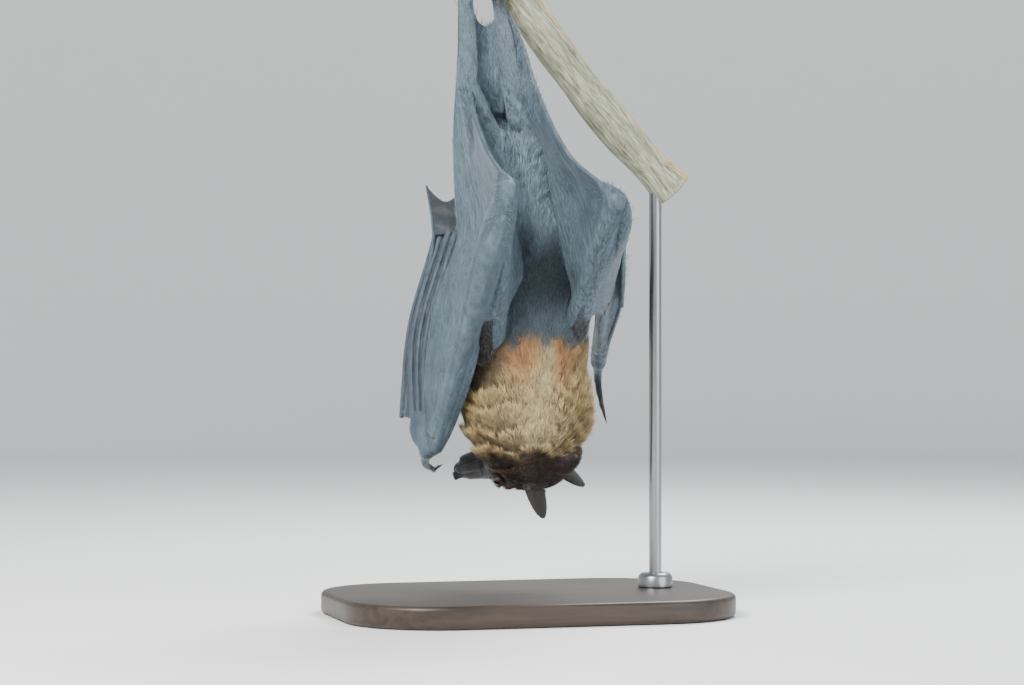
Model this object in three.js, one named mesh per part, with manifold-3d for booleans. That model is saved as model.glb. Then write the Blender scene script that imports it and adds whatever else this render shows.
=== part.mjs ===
// A large fruit bat hanging head down from a short cut branch, life size, on a plain display stand.
// Millimetres, +Z up. The origin is the middle of the stand's underside. The back faces -Y, the belly +Y,
// and the bat's own left side is towards +X.
import * as THREE from "three";
import { mergeVertices } from "three/addons/utils/BufferGeometryUtils.js";
import Module from "manifold-3d";

const wasm = await Module();
wasm.setup();

const at = (x, y, z) => new THREE.Vector3(x, y, z);

// ---------------------------------------------------------------- driving sizes

const GAP = 0.35; // clearance between neighbouring pieces
const WEB = 0.9; // thickness of the flight skin
const SLACK = { body: 0.2, skin: 0.1 }; // how far a face may move when needless corners are dropped

const STAND = {
  base: { length: 250, depth: 180, height: 14, corner: 60, edge: 3 },
  rod: { radius: 4, x: 88, y: 8 },
  collar: { radius: 11, height: 9 },
};

// The branch slopes down to the bat's left. Below the feet it sags a little before it straightens.
const PERCH = { middle: at(-29, 8, 422), slope: -49.4, up: 80, down: 200, radius: 11.5, sag: 6, sides: 10 };

// Places along the spine from the rump down, with the half width and half depth of the coat there.
const SPINE = [
  { place: at(-15, -2, 312), wide: 15, deep: 14 },
  { place: at(-13, 0, 292), wide: 26, deep: 23 },
  { place: at(-5.5, 1.5, 268), wide: 29.5, deep: 26.5 },
  { place: at(1, 2.5, 240), wide: 31.5, deep: 29.5 },
  { place: at(6.5, 3, 207), wide: 35, deep: 33 },
  { place: at(5, 3, 182), wide: 37.5, deep: 36 },
  { place: at(3, 2.5, 160), wide: 38.5, deep: 36.5 },
];
const RUFF = [
  { place: at(2.8, 2.8, 158), wide: 38.8, deep: 36.7 },
  { place: at(2, 5.5, 138), wide: 42, deep: 37.5 },
  { place: at(2.5, 9, 121), wide: 43, deep: 36 },
  { place: at(3.5, 13, 108), wide: 37, deep: 30 },
  { place: at(5, 16, 100), wide: 29, deep: 24 },
];

// The head hangs crown down and looks to its own right. Its sections run from the back of the skull
// to the nose: distance ahead, half width, half height, and how far the middle sits above the axis.
const HEAD = {
  middle: at(12.9, 20.8, 97),
  ahead: at(-0.588, 0.777, -0.27).normalize(),
  crown: at(0.3994, 0.044, -0.911),
  sections: [
    { ahead: -15, wide: 17.5, high: 16.5, lift: 0 },
    { ahead: -5, wide: 21.5, high: 20.5, lift: 0 },
    { ahead: 7, wide: 22, high: 20.5, lift: -0.5 },
    { ahead: 17, wide: 19.5, high: 18, lift: -2 },
    { ahead: 26, wide: 15, high: 14.5, lift: -4 },
    { ahead: 35, wide: 11.4, high: 12, lift: -5.8 },
    { ahead: 45, wide: 9.4, high: 10.4, lift: -7 },
    { ahead: 54, wide: 8.3, high: 9.2, lift: -7.8 },
    { ahead: 59, wide: 7, high: 7.4, lift: -8 },
  ],
  eye: { ahead: 24, out: 13.4, lift: 1.8, radius: 5.4 },
  ear: { root: [-1, 15.5, 10], tip: [-5, 28.5, 33], width: 17, cup: 5, thick: 1.4, toe: -0.25 },
  nostril: { ahead: 61.5, out: 4.4, lift: -6, radius: 2.6, length: 6 },
};

// Joints of each wing. knuckle is the far end of the middle metacarpal; fold is where the long third
// finger turns back towards its tip; fan is the way the folded fingers spread and bow the way they bend.
const WINGS = {
  right: {
    shoulder: at(-29, -8, 166), elbow: at(-38.6, -88, 262.8), cuff: at(-57, 15.6, 104),
    wrist: at(-60.5, 18.5, 102), palm: at(-64, 22.5, 109), knuckle: at(-42.6, 33, 240),
    fold: at(-71.7, 40.6, 122), tip: at(-55.8, 39.2, 273),
    fan: at(-3.6, 5.5, 0), bow: at(-9, 2.6, 0), whip: at(8.4, -2.4, 0), beside: at(1.5, 6.8, -2.5),
    thumb: [at(-58, 33, 94), at(-50, 45, 90)], claw: at(-44, 49, 97),
    edge: [at(-44.5, 3, 352), at(-45.5, 10, 300)],
    ridge: [at(-39.5, -24, 352), at(-38.5, -49, 318), at(-38.3, -70, 288)],
    flap: at(11.5, -1, 0), web: [at(-37, 28, 241), at(-35, 21.7, 270)], shape: { shoulder: 12.5, upper: 9.5 },
  },
  left: {
    shoulder: at(25.5, -7, 168), elbow: at(27, -97, 256.5), cuff: at(65, 58, 162),
    wrist: at(67, 62, 158), palm: at(68, 59, 166), knuckle: at(48, -43, 245),
    fold: at(66, 56, 188), tip: at(37, -62, 238),
    fan: at(0.85, 5.4, 6.5), bow: at(6, -1.7, 0), whip: at(2, -1, 3), beside: at(2, 3.6, 5),
    thumb: [at(69, 70, 146), at(71, 69, 132)], claw: at(73, 61, 122),
    edge: [at(-9, -22, 350), at(8, -48, 292)],
    ridge: [at(-10, -19, 360), at(-7.5, -45, 327), at(5, -74, 285)],
    flap: at(-3.5, 0, -2), web: [at(41, -42, 240), at(36, -57, 248)], shape: { shoulder: 11, upper: 6.8 },
  },
};
const ARM = { elbow: 7.2, belly: 9.4, fore: 6.3, thin: 4.4, wrist: 5.4 };
const FINGER = { bone: 2, joint: 2.7, end: 1.1 };

// Joints of each leg, and where its foot holds the branch, measured along it from its middle.
const LEGS = {
  right: { hip: at(-27, -6, 286), knee: at(-47, -31, 328), ankle: at(-41.4, -4, 402.6), grip: -14 },
  left: { hip: at(1, -6, 286), knee: at(-17.5, -31, 324), ankle: at(-20.7, -4, 387), grip: 14 },
};
const LEG = { hip: 15, thigh: 12.5, knee: 9, calf: 6.6, ankle: 4.6 };
const FOOT = { toes: 5, pitch: 3.9, toe: 1.9, sole: 5.2, start: -6, knuckles: 72, tip: 158 };

const COLOURS = {
  backFur: { color: 0x1d2327, roughness: 0.75 },
  mantle: { color: 0x9a7a45, roughness: 0.9 },
  face: { color: 0x17110e, roughness: 0.7 },
  wingSkin: { color: 0x4d5d68, roughness: 0.45 },
  footSkin: { color: 0x3a4247, roughness: 0.6 },
  eye: { color: 0x2a1208, roughness: 0.08 },
  claw: { color: 0x14110f, roughness: 0.3 },
  branch: { color: 0xb9ab8c, roughness: 0.9 },
  standWood: { color: 0x2c2621, roughness: 0.5 },
  standMetal: { color: 0x8d9297, roughness: 0.35, metalness: 1 },
};

// ---------------------------------------------------------------- shaping tools

// Turns the faces outwards if they point in.
function facingOut(geometry) {
  const p = geometry.getAttribute("position");
  const t = geometry.index.array;
  const [a, b, c] = [at(0, 0, 0), at(0, 0, 0), at(0, 0, 0)];
  let volume = 0;
  for (let i = 0; i < t.length; i += 3) {
    a.fromBufferAttribute(p, t[i]);
    b.fromBufferAttribute(p, t[i + 1]);
    c.fromBufferAttribute(p, t[i + 2]);
    volume += a.dot(b.cross(c));
  }
  if (volume < 0) {
    for (let i = 0; i < t.length; i += 3) [t[i + 1], t[i + 2]] = [t[i + 2], t[i + 1]];
  }
  return geometry;
}

// A closed skin over rings of points, drawn together to a pole at each end.
function skinOver(rings, firstPole, lastPole) {
  const n = rings[0].length;
  const points = [...rings.flat(), firstPole, lastPole];
  const first = points.length - 2;
  const triangles = [];
  rings.forEach((ring, r) => {
    for (let i = 0; i < n; i++) {
      const j = (i + 1) % n;
      const [p, q] = [r * n + i, r * n + j];
      if (r === 0) triangles.push(first, q, p);
      if (r === rings.length - 1) triangles.push(first + 1, p, q);
      else triangles.push(p, q, q + n, p, q + n, p + n);
    }
  });
  const geometry = new THREE.BufferGeometry().setFromPoints(points);
  geometry.setIndex(triangles);
  return facingOut(geometry);
}

const smooth = (places) => new THREE.CatmullRomCurve3(places, false, "centripetal");

// A round-ended limb through the given places, with a half width and a half depth at each. side is the
// direction of its width, grow swells it all over, and ends says how far each end bulges.
function limb({ through, wide, deep = wide, side = at(1, 0, 0), sides = 10, steps, grow = 0, ends = [1, 1] }) {
  const curve = smooth(through);
  const halves = wide.map((w, i) => at(w + grow, deep[i] + grow, i));
  const sizes = new THREE.CatmullRomCurve3(halves, false, "catmullrom", 0.5);
  const count = steps ?? (through.length - 1) * 3;
  const ring = (middle, along, halfWide, halfDeep) => {
    const across = side.clone().addScaledVector(along, -side.dot(along)).normalize();
    const over = along.clone().cross(across);
    return Array.from({ length: sides }, (_, i) => {
      const angle = (i / sides) * Math.PI * 2;
      return middle.clone()
        .addScaledVector(across, Math.cos(angle) * halfWide)
        .addScaledVector(over, Math.sin(angle) * halfDeep);
    });
  };
  const cap = (t, sign, bulge) => {
    const middle = curve.getPoint(t);
    const along = curve.getTangent(t);
    const size = sizes.getPoint(t);
    const reach = (Math.min(size.x, size.y) * bulge + (bulge < 1 ? grow : 0)) * sign;
    return {
      rings: (sides > 8 && bulge > 0.1 ? [0.5, 0.85] : [0.72]).map((share) => {
        const shrink = Math.sqrt(1 - share * share);
        const place = middle.clone().addScaledVector(along, reach * share);
        return ring(place, along, size.x * shrink, size.y * shrink);
      }),
      pole: middle.clone().addScaledVector(along, reach),
    };
  };
  const rings = [];
  for (let k = 0; k <= count; k++) {
    const t = k / count;
    const size = sizes.getPoint(t);
    rings.push(ring(curve.getPoint(t), curve.getTangent(t), size.x, size.y));
  }
  const [start, end] = [cap(0, -1, ends[0]), cap(1, 1, ends[1])];
  return skinOver([...start.rings.reverse(), ...rings, ...end.rings], start.pole, end.pole);
}

// A thin closed solid about a surface that is given by two shares from 0 to 1. Its thickness may be a
// function of the same shares, and columns may say where it is cut up crosswise.
function sheet(surface, { across, along, thick = WEB, grow = 0, columns }) {
  const shares = columns ?? Array.from({ length: across + 1 }, (_, j) => j / across);
  const fronts = [];
  const backs = [];
  for (let i = 0; i <= along; i++) {
    for (let j = 0; j < shares.length; j++) {
      const [s, t] = [shares[j], i / along];
      const half = (typeof thick === "function" ? thick(s, t) : thick) / 2 + grow;
      const step = 0.01;
      const [s0, s1] = [Math.max(0, s - step), Math.min(1, s + step)];
      const [t0, t1] = [Math.max(0, t - step), Math.min(1, t + step)];
      const across1 = surface(s1, t).sub(surface(s0, t)).normalize();
      const along1 = surface(s, t1).sub(surface(s, t0)).normalize();
      const normal = across1.clone().cross(along1).normalize();
      const rim = surface(s, t)
        .addScaledVector(across1, j === 0 ? -grow : j === shares.length - 1 ? grow : 0)
        .addScaledVector(along1, i === 0 ? -grow : i === along ? grow : 0);
      fronts.push(rim.clone().addScaledVector(normal, half));
      backs.push(rim.clone().addScaledVector(normal, -half));
    }
  }
  const row = shares.length;
  const far = fronts.length;
  const triangles = [];
  const quad = (a, b, c, d) => triangles.push(a, b, c, a, c, d);
  for (let i = 0; i < along; i++) {
    for (let j = 0; j < row - 1; j++) {
      const p = i * row + j;
      quad(p, p + 1, p + row + 1, p + row);
      quad(far + p, far + p + row, far + p + row + 1, far + p + 1);
    }
    const [left, right] = [i * row, i * row + row - 1];
    quad(left + row, far + left + row, far + left, left);
    quad(right, far + right, far + right + row, right + row);
  }
  for (let j = 0; j < row - 1; j++) {
    const top = along * row + j;
    quad(j, far + j, far + j + 1, j + 1);
    quad(top + 1, far + top + 1, far + top, top);
  }
  const geometry = new THREE.BufferGeometry().setFromPoints([...fronts, ...backs]);
  geometry.setIndex(triangles);
  return facingOut(geometry);
}

// ---------------------------------------------------------------- cutting and joining

function solid(geometry) {
  const bare = new THREE.BufferGeometry().setAttribute("position", geometry.getAttribute("position"));
  if (geometry.index) bare.setIndex(geometry.index);
  const closed = mergeVertices(bare, 1e-4);
  return new wasm.Manifold(
    new wasm.Mesh({
      numProp: 3,
      vertProperties: Float32Array.from(closed.attributes.position.array),
      triVerts: Uint32Array.from(closed.index.array),
    }),
  );
}

const joined = (solids) => solids.reduce((whole, piece) => whole.add(piece));
const without = (piece, others) => others.reduce((rest, other) => rest.subtract(other), piece);
const largest = (piece) => piece.decompose().sort((a, b) => b.volume() - a.volume())[0];
const tidied = (piece, slack) => largest(piece.simplify(slack));

const bat = new THREE.Group();
bat.name = "fruit_bat_on_stand";

function add(name, piece, look) {
  const made = tidied(piece, look === "wingSkin" ? SLACK.skin : SLACK.body).getMesh();
  const geometry = new THREE.BufferGeometry();
  geometry.setAttribute("position", new THREE.BufferAttribute(made.vertProperties, 3));
  geometry.setIndex(new THREE.BufferAttribute(made.triVerts, 1));
  geometry.computeVertexNormals();
  const mesh = new THREE.Mesh(geometry, new THREE.MeshStandardMaterial(COLOURS[look]));
  mesh.name = name;
  bat.add(mesh);
}

// ---------------------------------------------------------------- trunk, ruff and head

const trunkSolid = (grow = 0) =>
  solid(limb({
    through: SPINE.map((s) => s.place), wide: SPINE.map((s) => s.wide), deep: SPINE.map((s) => s.deep),
    sides: 12, steps: 8, grow, ends: [1, 0.03],
  }));
const ruffSolid = (grow = 0) =>
  solid(limb({
    through: RUFF.map((s) => s.place), wide: RUFF.map((s) => s.wide), deep: RUFF.map((s) => s.deep),
    sides: 12, steps: 4, grow, ends: [0.03, 0.3],
  }));

const headRight = HEAD.ahead.clone().cross(HEAD.crown).normalize();
const headUp = headRight.clone().cross(HEAD.ahead);
const inHead = (ahead, out, lift) =>
  HEAD.middle.clone()
    .addScaledVector(HEAD.ahead, ahead)
    .addScaledVector(headRight, out)
    .addScaledVector(headUp, lift);

function headSolid(grow = 0) {
  const skull = limb({
    through: HEAD.sections.map((s) => inHead(s.ahead, 0, s.lift)),
    wide: HEAD.sections.map((s) => s.wide), deep: HEAD.sections.map((s) => s.high),
    side: headRight, sides: 12, steps: 7, grow,
  });
  const n = HEAD.nostril;
  const nostrils = [-1, 1].map((hand) => {
    const root = inHead(n.ahead - n.length, hand * n.out * 0.6, n.lift);
    const rim = inHead(n.ahead + 1.5, hand * n.out, n.lift);
    return solid(limb({
      through: [root, rim], wide: [n.radius * 1.1, n.radius], side: headRight, sides: 5, steps: 1, grow,
    }));
  });
  return joined([solid(skull), ...nostrils]);
}

// An ear is a pointed cup that opens forwards and outwards.
function earSolid(hand, grow = 0) {
  const e = HEAD.ear;
  const [root, tip] = [e.root, e.tip].map(([ahead, out, lift]) => inHead(ahead, hand * out, lift));
  const along = tip.clone().sub(root).normalize();
  const facing = inHead(1, hand * e.toe, 0).sub(HEAD.middle).normalize();
  const broad = along.clone().cross(facing).normalize();
  const back = broad.clone().cross(along).normalize();
  const surface = (s, t) => {
    const sweep = (s - 0.5) * Math.PI * 0.9;
    const width = (e.width / 2) * Math.max(0.07, Math.pow(1 - t, 0.6) * (0.78 + 0.95 * t));
    return root.clone().lerp(tip, t * 1.08 - 0.08)
      .addScaledVector(broad, Math.sin(sweep) * width)
      .addScaledVector(back, e.cup * (0.5 - Math.cos(sweep)) * (1 - t * 0.85));
  };
  return solid(sheet(surface, { across: 4, along: 5, thick: e.thick, grow }));
}

const eyeSolid = (hand, grow = 0) => {
  const e = HEAD.eye;
  const ball = new THREE.SphereGeometry(e.radius + grow, 9, 6);
  const place = inHead(e.ahead, hand * e.out, e.lift);
  ball.translate(place.x, place.y, place.z);
  return solid(ball);
};

// ---------------------------------------------------------------- branch and feet

const slope = THREE.MathUtils.degToRad(PERCH.slope);
const branchAlong = at(Math.cos(slope), 0, Math.sin(slope));
const branchOver = at(-branchAlong.z, 0, branchAlong.x);
const onBranch = (distance, angle, radius) => {
  const turn = THREE.MathUtils.degToRad(angle);
  return PERCH.middle.clone()
    .addScaledVector(branchAlong, distance)
    .addScaledVector(at(0, -1, 0), Math.cos(turn) * radius)
    .addScaledVector(branchOver, Math.sin(turn) * radius);
};

function branchSolid() {
  const stations = 13;
  const places = [];
  const sizes = [];
  for (let i = 0; i < stations; i++) {
    const distance = -PERCH.up + ((PERCH.up + PERCH.down) * i) / (stations - 1);
    const away = Math.max(0, Math.abs(distance) - 28) / 100;
    const sag = distance > 26 ? Math.sin(Math.PI * Math.min(1, (distance - 26) / 190)) : 0;
    places.push(onBranch(distance, 90, -PERCH.sag * sag));
    sizes.push(PERCH.radius * (1 + 0.07 * away * Math.cos(distance * 0.09) + 0.06 * away));
  }
  const whole = solid(limb({ through: places, wide: sizes, side: at(0, 1, 0), sides: PERCH.sides, steps: 9 }));
  const sawn = [-PERCH.up - 30, PERCH.down + 30].map((reach) => {
    const block = new THREE.BoxGeometry(60, 60, 60);
    block.rotateY(-slope);
    const middle = onBranch(reach, 0, 0);
    block.translate(middle.x, middle.y, middle.z);
    return solid(block);
  });
  return without(whole, sawn);
}

// Toes lie side by side and hook over the branch from the back.
const toeAngles = (from, to, steps) =>
  Array.from({ length: steps + 1 }, (_, i) => from + ((to - from) * i) / steps);
const toeShift = (toe) => (toe - (FOOT.toes - 1) / 2) * FOOT.pitch;

function footSolid(leg, grow = 0) {
  const ride = PERCH.radius + FOOT.toe + GAP + 0.4;
  const ball = onBranch(leg.grip, FOOT.start, ride + 1.5);
  const spread = (FOOT.toes - 1) / 2 * FOOT.pitch + FOOT.toe;
  const sole = solid(limb({
    through: [leg.ankle, leg.ankle.clone().lerp(ball, 0.55).add(at(0, -1.5, 0)), ball],
    wide: [LEG.ankle, FOOT.sole, spread], deep: [LEG.ankle, 3.4, 2.8],
    side: branchAlong, sides: 7, steps: 3, grow,
  }));
  const toes = Array.from({ length: FOOT.toes }, (_, toe) => {
    const bend = toeAngles(FOOT.start, FOOT.knuckles, 3);
    const root = leg.ankle.clone().lerp(ball, 0.75).addScaledVector(branchAlong, toeShift(toe) * 0.75);
    return solid(limb({
      through: [root, ...bend.map((angle) => onBranch(leg.grip + toeShift(toe), angle, ride))],
      wide: [FOOT.toe * 0.8, ...bend.map(() => FOOT.toe)], side: branchAlong, sides: 4, steps: 3, grow,
    }));
  });
  return joined([sole, ...toes]);
}

function toeClawSolid(leg, toe) {
  const ride = (i) => PERCH.radius + 2.3 + 0.9 * Math.sin((i / 4) * Math.PI);
  const bend = toeAngles(FOOT.knuckles + 11, FOOT.tip, 4);
  return solid(limb({
    through: bend.map((angle, i) => onBranch(leg.grip + toeShift(toe), angle, ride(i))),
    wide: [1.3, 1.2, 1.0, 0.7, 0.3], deep: [1.9, 1.7, 1.4, 0.9, 0.35],
    side: branchAlong, sides: 4, steps: 3, ends: [0.3, 1],
  }));
}

// ---------------------------------------------------------------- legs

const thighSolid = (leg, grow = 0) =>
  solid(limb({
    through: [leg.hip, leg.hip.clone().lerp(leg.knee, 0.5).add(at(0, -3, -1)), leg.knee],
    wide: [LEG.hip, LEG.thigh, LEG.knee], side: at(1, 0, 0), sides: 8, steps: 3, grow,
  }));
const shankSolid = (leg, grow = 0) =>
  solid(limb({
    through: [leg.knee, leg.knee.clone().lerp(leg.ankle, 0.35).add(at(0, -2, 0)), leg.ankle],
    wide: [LEG.knee * 0.92, LEG.calf, LEG.ankle], side: at(1, 0, 0), sides: 7, steps: 3, grow,
  }));

// ---------------------------------------------------------------- arms and hands

const upperArmSolid = (wing, grow = 0) =>
  solid(limb({
    through: [wing.shoulder, wing.shoulder.clone().lerp(wing.elbow, 0.5), wing.elbow],
    wide: [wing.shape.shoulder, wing.shape.upper, ARM.elbow], side: at(1, 0, 0), sides: 8, steps: 3, grow,
  }));
const forearmSolid = (wing, grow = 0) =>
  solid(limb({
    through: [0, 0.2, 0.5, 0.82, 1].map((share) => wing.elbow.clone().lerp(wing.cuff, share)),
    wide: [ARM.elbow, ARM.belly, ARM.fore, ARM.thin, ARM.wrist], side: at(1, 0, 0), sides: 8, steps: 6, grow,
  }));

// Places along the folded hand. Digits 3, 4 and 5 carry the flight skin, and 3 lies outermost. Each shaft
// runs from the palm to a knuckle, and the third finger then turns back down and up again to its tip.
function handPlaces(wing) {
  const spread = (count) => wing.fan.clone().multiplyScalar(count);
  const knuckles = [1, 0, -1].map((count) => wing.knuckle.clone().add(spread(count)));
  const roots = [1, 0, -1].map((count) => wing.palm.clone().add(spread(count * 0.7)));
  const shafts = knuckles.map((knuckle, i) => {
    const bowed = roots[i].clone().lerp(knuckle, 0.5).add(wing.bow);
    return smooth([roots[i], bowed, knuckle]);
  });
  const bent = knuckles[0].clone().lerp(wing.fold, 0.5).addScaledVector(wing.bow, 0.5).add(spread(0.6));
  const third = smooth([knuckles[0].clone().add(spread(0.6)), bent, wing.fold]);
  const whipped = (share, size) => wing.fold.clone().lerp(wing.tip, share).addScaledVector(wing.whip, size);
  const thirdTip = smooth([wing.fold.clone().add(spread(-0.6)), whipped(0.42, 0.25), whipped(0.75, 1), wing.tip]);
  const bentBack = knuckles[2].clone().lerp(roots[2], 0.5).addScaledVector(wing.bow, 0.9).add(spread(-0.9));
  const fifth = [bentBack, knuckles[2].clone().add(spread(-0.6))];
  return { knuckles, roots, shafts, third, thirdTip, fifth };
}

// The folded hand: the fingers and the pleated skin between them, which is one piece in life. Each pleat
// spans two lines that run side by side, both from their wrist end to their knuckle end.
function handSolid(wing, grow = 0) {
  const { shafts, third, thirdTip, fifth } = handPlaces(wing);
  const { bone, joint, end } = FINGER;
  const part = (curve, from, to) => (t) => curve.getPoint(from + (to - from) * t);
  const line = new THREE.LineCurve3(...fifth);
  const bones = [
    ...shafts.map((shaft) => [part(shaft, 0.08, 1), bone, joint, 2]), [part(line, 0, 1), 1.2, bone, 1],
    [part(third, 0, 0.98), bone, 1.6, 2], [part(thirdTip, 0.02, 0.98), 1.6, end, 3],
  ].map(([place, from, to, steps]) => solid(limb({
    through: [0, 0.33, 0.67, 1].map(place), wide: [0, 0.33, 0.67, 1].map((t) => from + (to - from) * t),
    sides: 4, steps, grow,
  })));
  const pleats = [
    [part(line, 0, 1), part(shafts[2], 0.5, 1)], [part(shafts[2], 0.1, 1), part(shafts[1], 0.1, 1)],
    [part(shafts[1], 0.1, 1), part(shafts[0], 0.1, 1)], [part(shafts[0], 0.1, 1), part(third, 0.98, 0.03)],
    [part(third, 0.98, 0.03), part(thirdTip, 0.02, 0.78)],
  ].map(([first, second]) => solid(sheet((s, t) => first(t).lerp(second(t), s), { across: 1, along: 2, grow })));

  const palm = [
    [[wing.cuff, wing.wrist], [ARM.wrist * 0.8, ARM.wrist]],
    [[wing.wrist, wing.palm.clone().lerp(shafts[1].getPoint(0.1), 0.6)], [ARM.wrist, ARM.thin]],
  ].map(([through, wide]) => solid(limb({ through, wide, side: at(1, 0, 0), sides: 6, steps: 1, grow })));
  const far = (t) => wing.web[0].clone().lerp(wing.web[1], t);
  const tipSkin = solid(sheet((s, t) => thirdTip.getPoint(0.7 + 0.28 * t).lerp(far(t), s), {
    across: 1, along: 3, grow,
  }));
  return joined([...bones, ...pleats, ...palm, tipSkin]);
}

// The second finger has a claw of its own and runs beside the third.
const indexLine = (wing) => {
  const { shafts } = handPlaces(wing);
  return [[0.05, 0.95], [0.4, 1], [0.74, 1], [0.88, 1.2]].map(([share, out]) =>
    shafts[0].getPoint(share).addScaledVector(wing.beside, out));
};
const indexSolid = (wing, grow = 0) =>
  solid(limb({
    through: indexLine(wing), wide: [1.9, 1.7, 1.7, 1.5], side: at(1, 0, 0), sides: 5, steps: 3, grow,
  }));
const thumbLine = (wing) => [wing.wrist, ...wing.thumb];
const thumbSolid = (wing, grow = 0) =>
  solid(limb({ through: thumbLine(wing), wide: [4, 3, 2.3], side: at(1, 0, 0), sides: 6, steps: 3, grow }));

// A small hooked claw at the end of a finger.
function fingerClawSolid(from, before, curl, length, thick) {
  const out = from.clone().sub(before).normalize();
  const places = [0.5, 0.75, 1].map((share) =>
    from.clone()
      .addScaledVector(out, length * (share - 0.28))
      .addScaledVector(curl, length * share * share * 0.55));
  return solid(limb({
    through: [from.clone().addScaledVector(out, thick * 1.2), ...places],
    wide: [thick * 0.75, thick * 0.65, thick * 0.5, 0.3], deep: [thick, thick * 0.85, thick * 0.55, 0.3],
    side: at(1, 0, 0), sides: 4, steps: 2,
  }));
}

// ---------------------------------------------------------------- flight skin

// The line along the side of the back where the flight skin begins. Each angle is from the midline.
const FLANK = [[292, 40], [268, 32], [240, 29], [212, 29], [196, 46]];
const spineAt = (height) => {
  const k = Math.max(1, SPINE.findIndex((s) => s.place.z <= height));
  const [above, below] = [SPINE[k - 1], SPINE[k]];
  const share = (above.place.z - height) / (above.place.z - below.place.z);
  const mix = (key) => above[key] + (below[key] - above[key]) * share;
  return { place: above.place.clone().lerp(below.place, share), wide: mix("wide"), deep: mix("deep") };
};
function flankLine(leg, hand) {
  const places = FLANK.map(([height, angle]) => {
    const body = spineAt(height);
    const turn = THREE.MathUtils.degToRad(angle);
    return body.place.add(at(hand * Math.sin(turn) * body.wide * 0.97, -Math.cos(turn) * body.deep * 0.97, 0));
  });
  const ankle = leg.ankle.clone().add(at(0, -1, -5));
  const shin = leg.knee.clone().lerp(leg.ankle, 0.45).add(at(0, -2, 0));
  const knee = leg.knee.clone().add(at(0, -3, -2));
  return smooth([ankle, shin, knee, ...places]);
}
const ridgeLine = (wing, leg, hand) =>
  [leg.ankle.clone().add(at(hand * 2.5, -2.5, -5)), ...wing.ridge, wing.elbow];

// From the flank up to the fold that runs from the ankle to the elbow, and on down the upper arm.
function innerWebSurface(wing, leg, hand) {
  const inner = flankLine(leg, hand);
  const arm = [0.35, 0.65, 0.9].map((share) => wing.elbow.clone().lerp(wing.shoulder, share));
  const outer = smooth([...ridgeLine(wing, leg, hand), ...arm]);
  return (s, t) => inner.getPoint(t).lerp(outer.getPoint(t), s);
}

// From that fold and the forearm out to the free edge and the fifth finger.
function outerWebSurface(wing, leg, hand) {
  const { knuckles, shafts } = handPlaces(wing);
  const forearm = [0.33, 0.66, 0.95].map((share) => wing.elbow.clone().lerp(wing.cuff, share));
  const inner = smooth([...ridgeLine(wing, leg, hand), ...forearm]);
  const freeEdge = [
    leg.ankle.clone().add(at(hand * 4, 1.5, -5)), ...wing.edge, wing.edge[1].clone().lerp(knuckles[2], 0.6),
  ];
  const finger = [0.66, 0.33, 0.06].map((share) => shafts[2].getPoint(share));
  const outer = smooth([...freeEdge, knuckles[2], ...finger]);
  return (s, t) => {
    const sag = Math.sin(Math.PI * s) * Math.sin(Math.PI * t) * 6;
    return inner.getPoint(t).lerp(outer.getPoint(t), s).add(at(-hand * sag, 0, 0));
  };
}

// In front of the elbow, between the upper arm and the forearm. Its free edge is hollow by the shoulder
// and runs on down the forearm as a narrow flap.
function frontWebSurface(wing) {
  const arm = (share) => wing.elbow.clone().lerp(wing.shoulder, share);
  const fore = (share) => wing.elbow.clone().lerp(wing.cuff, share);
  const inner = smooth([0.02, 0.13, 0.28, 0.44, 0.56, 0.67, 0.8, 0.93, 1].map(fore));
  const hollow = arm(0.9).lerp(fore(0.62), 0.3);
  const flap = [[0.67, 1], [0.8, 0.95], [0.93, 0.7], [1, 0.35]].map(([share, size]) =>
    fore(share).addScaledVector(wing.flap, size));
  const outer = smooth([arm(0.04), arm(0.25), arm(0.5), arm(0.74), hollow, ...flap]);
  return (s, t) => inner.getPoint(t).lerp(outer.getPoint(t), s);
}

// The skin between the legs, joined under the rump, with a hollow free edge towards the feet.
const TAIL_SKIN = {
  right: [at(-33, -21, 314), at(-38, -29, 336), at(-40, -20, 362), at(-40, -9, 384)],
  left: [at(-24, -21, 314), at(-24, -29, 334), at(-21, -19, 358), at(-20.5, -10, 378)],
  sag: 6, hollow: 0.2,
};
function tailSkinSolid(grow = 0) {
  const [right, left] = [smooth(TAIL_SKIN.right), smooth(TAIL_SKIN.left)];
  const surface = (s, t) => {
    const reach = t * (1 - TAIL_SKIN.hollow * Math.sin(Math.PI * s));
    const sag = TAIL_SKIN.sag * Math.sin(Math.PI * s);
    return right.getPoint(reach).lerp(left.getPoint(reach), s).add(at(0, sag, 0));
  };
  return solid(sheet(surface, { across: 2, along: 3, grow }));
}

// ---------------------------------------------------------------- putting it together

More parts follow.
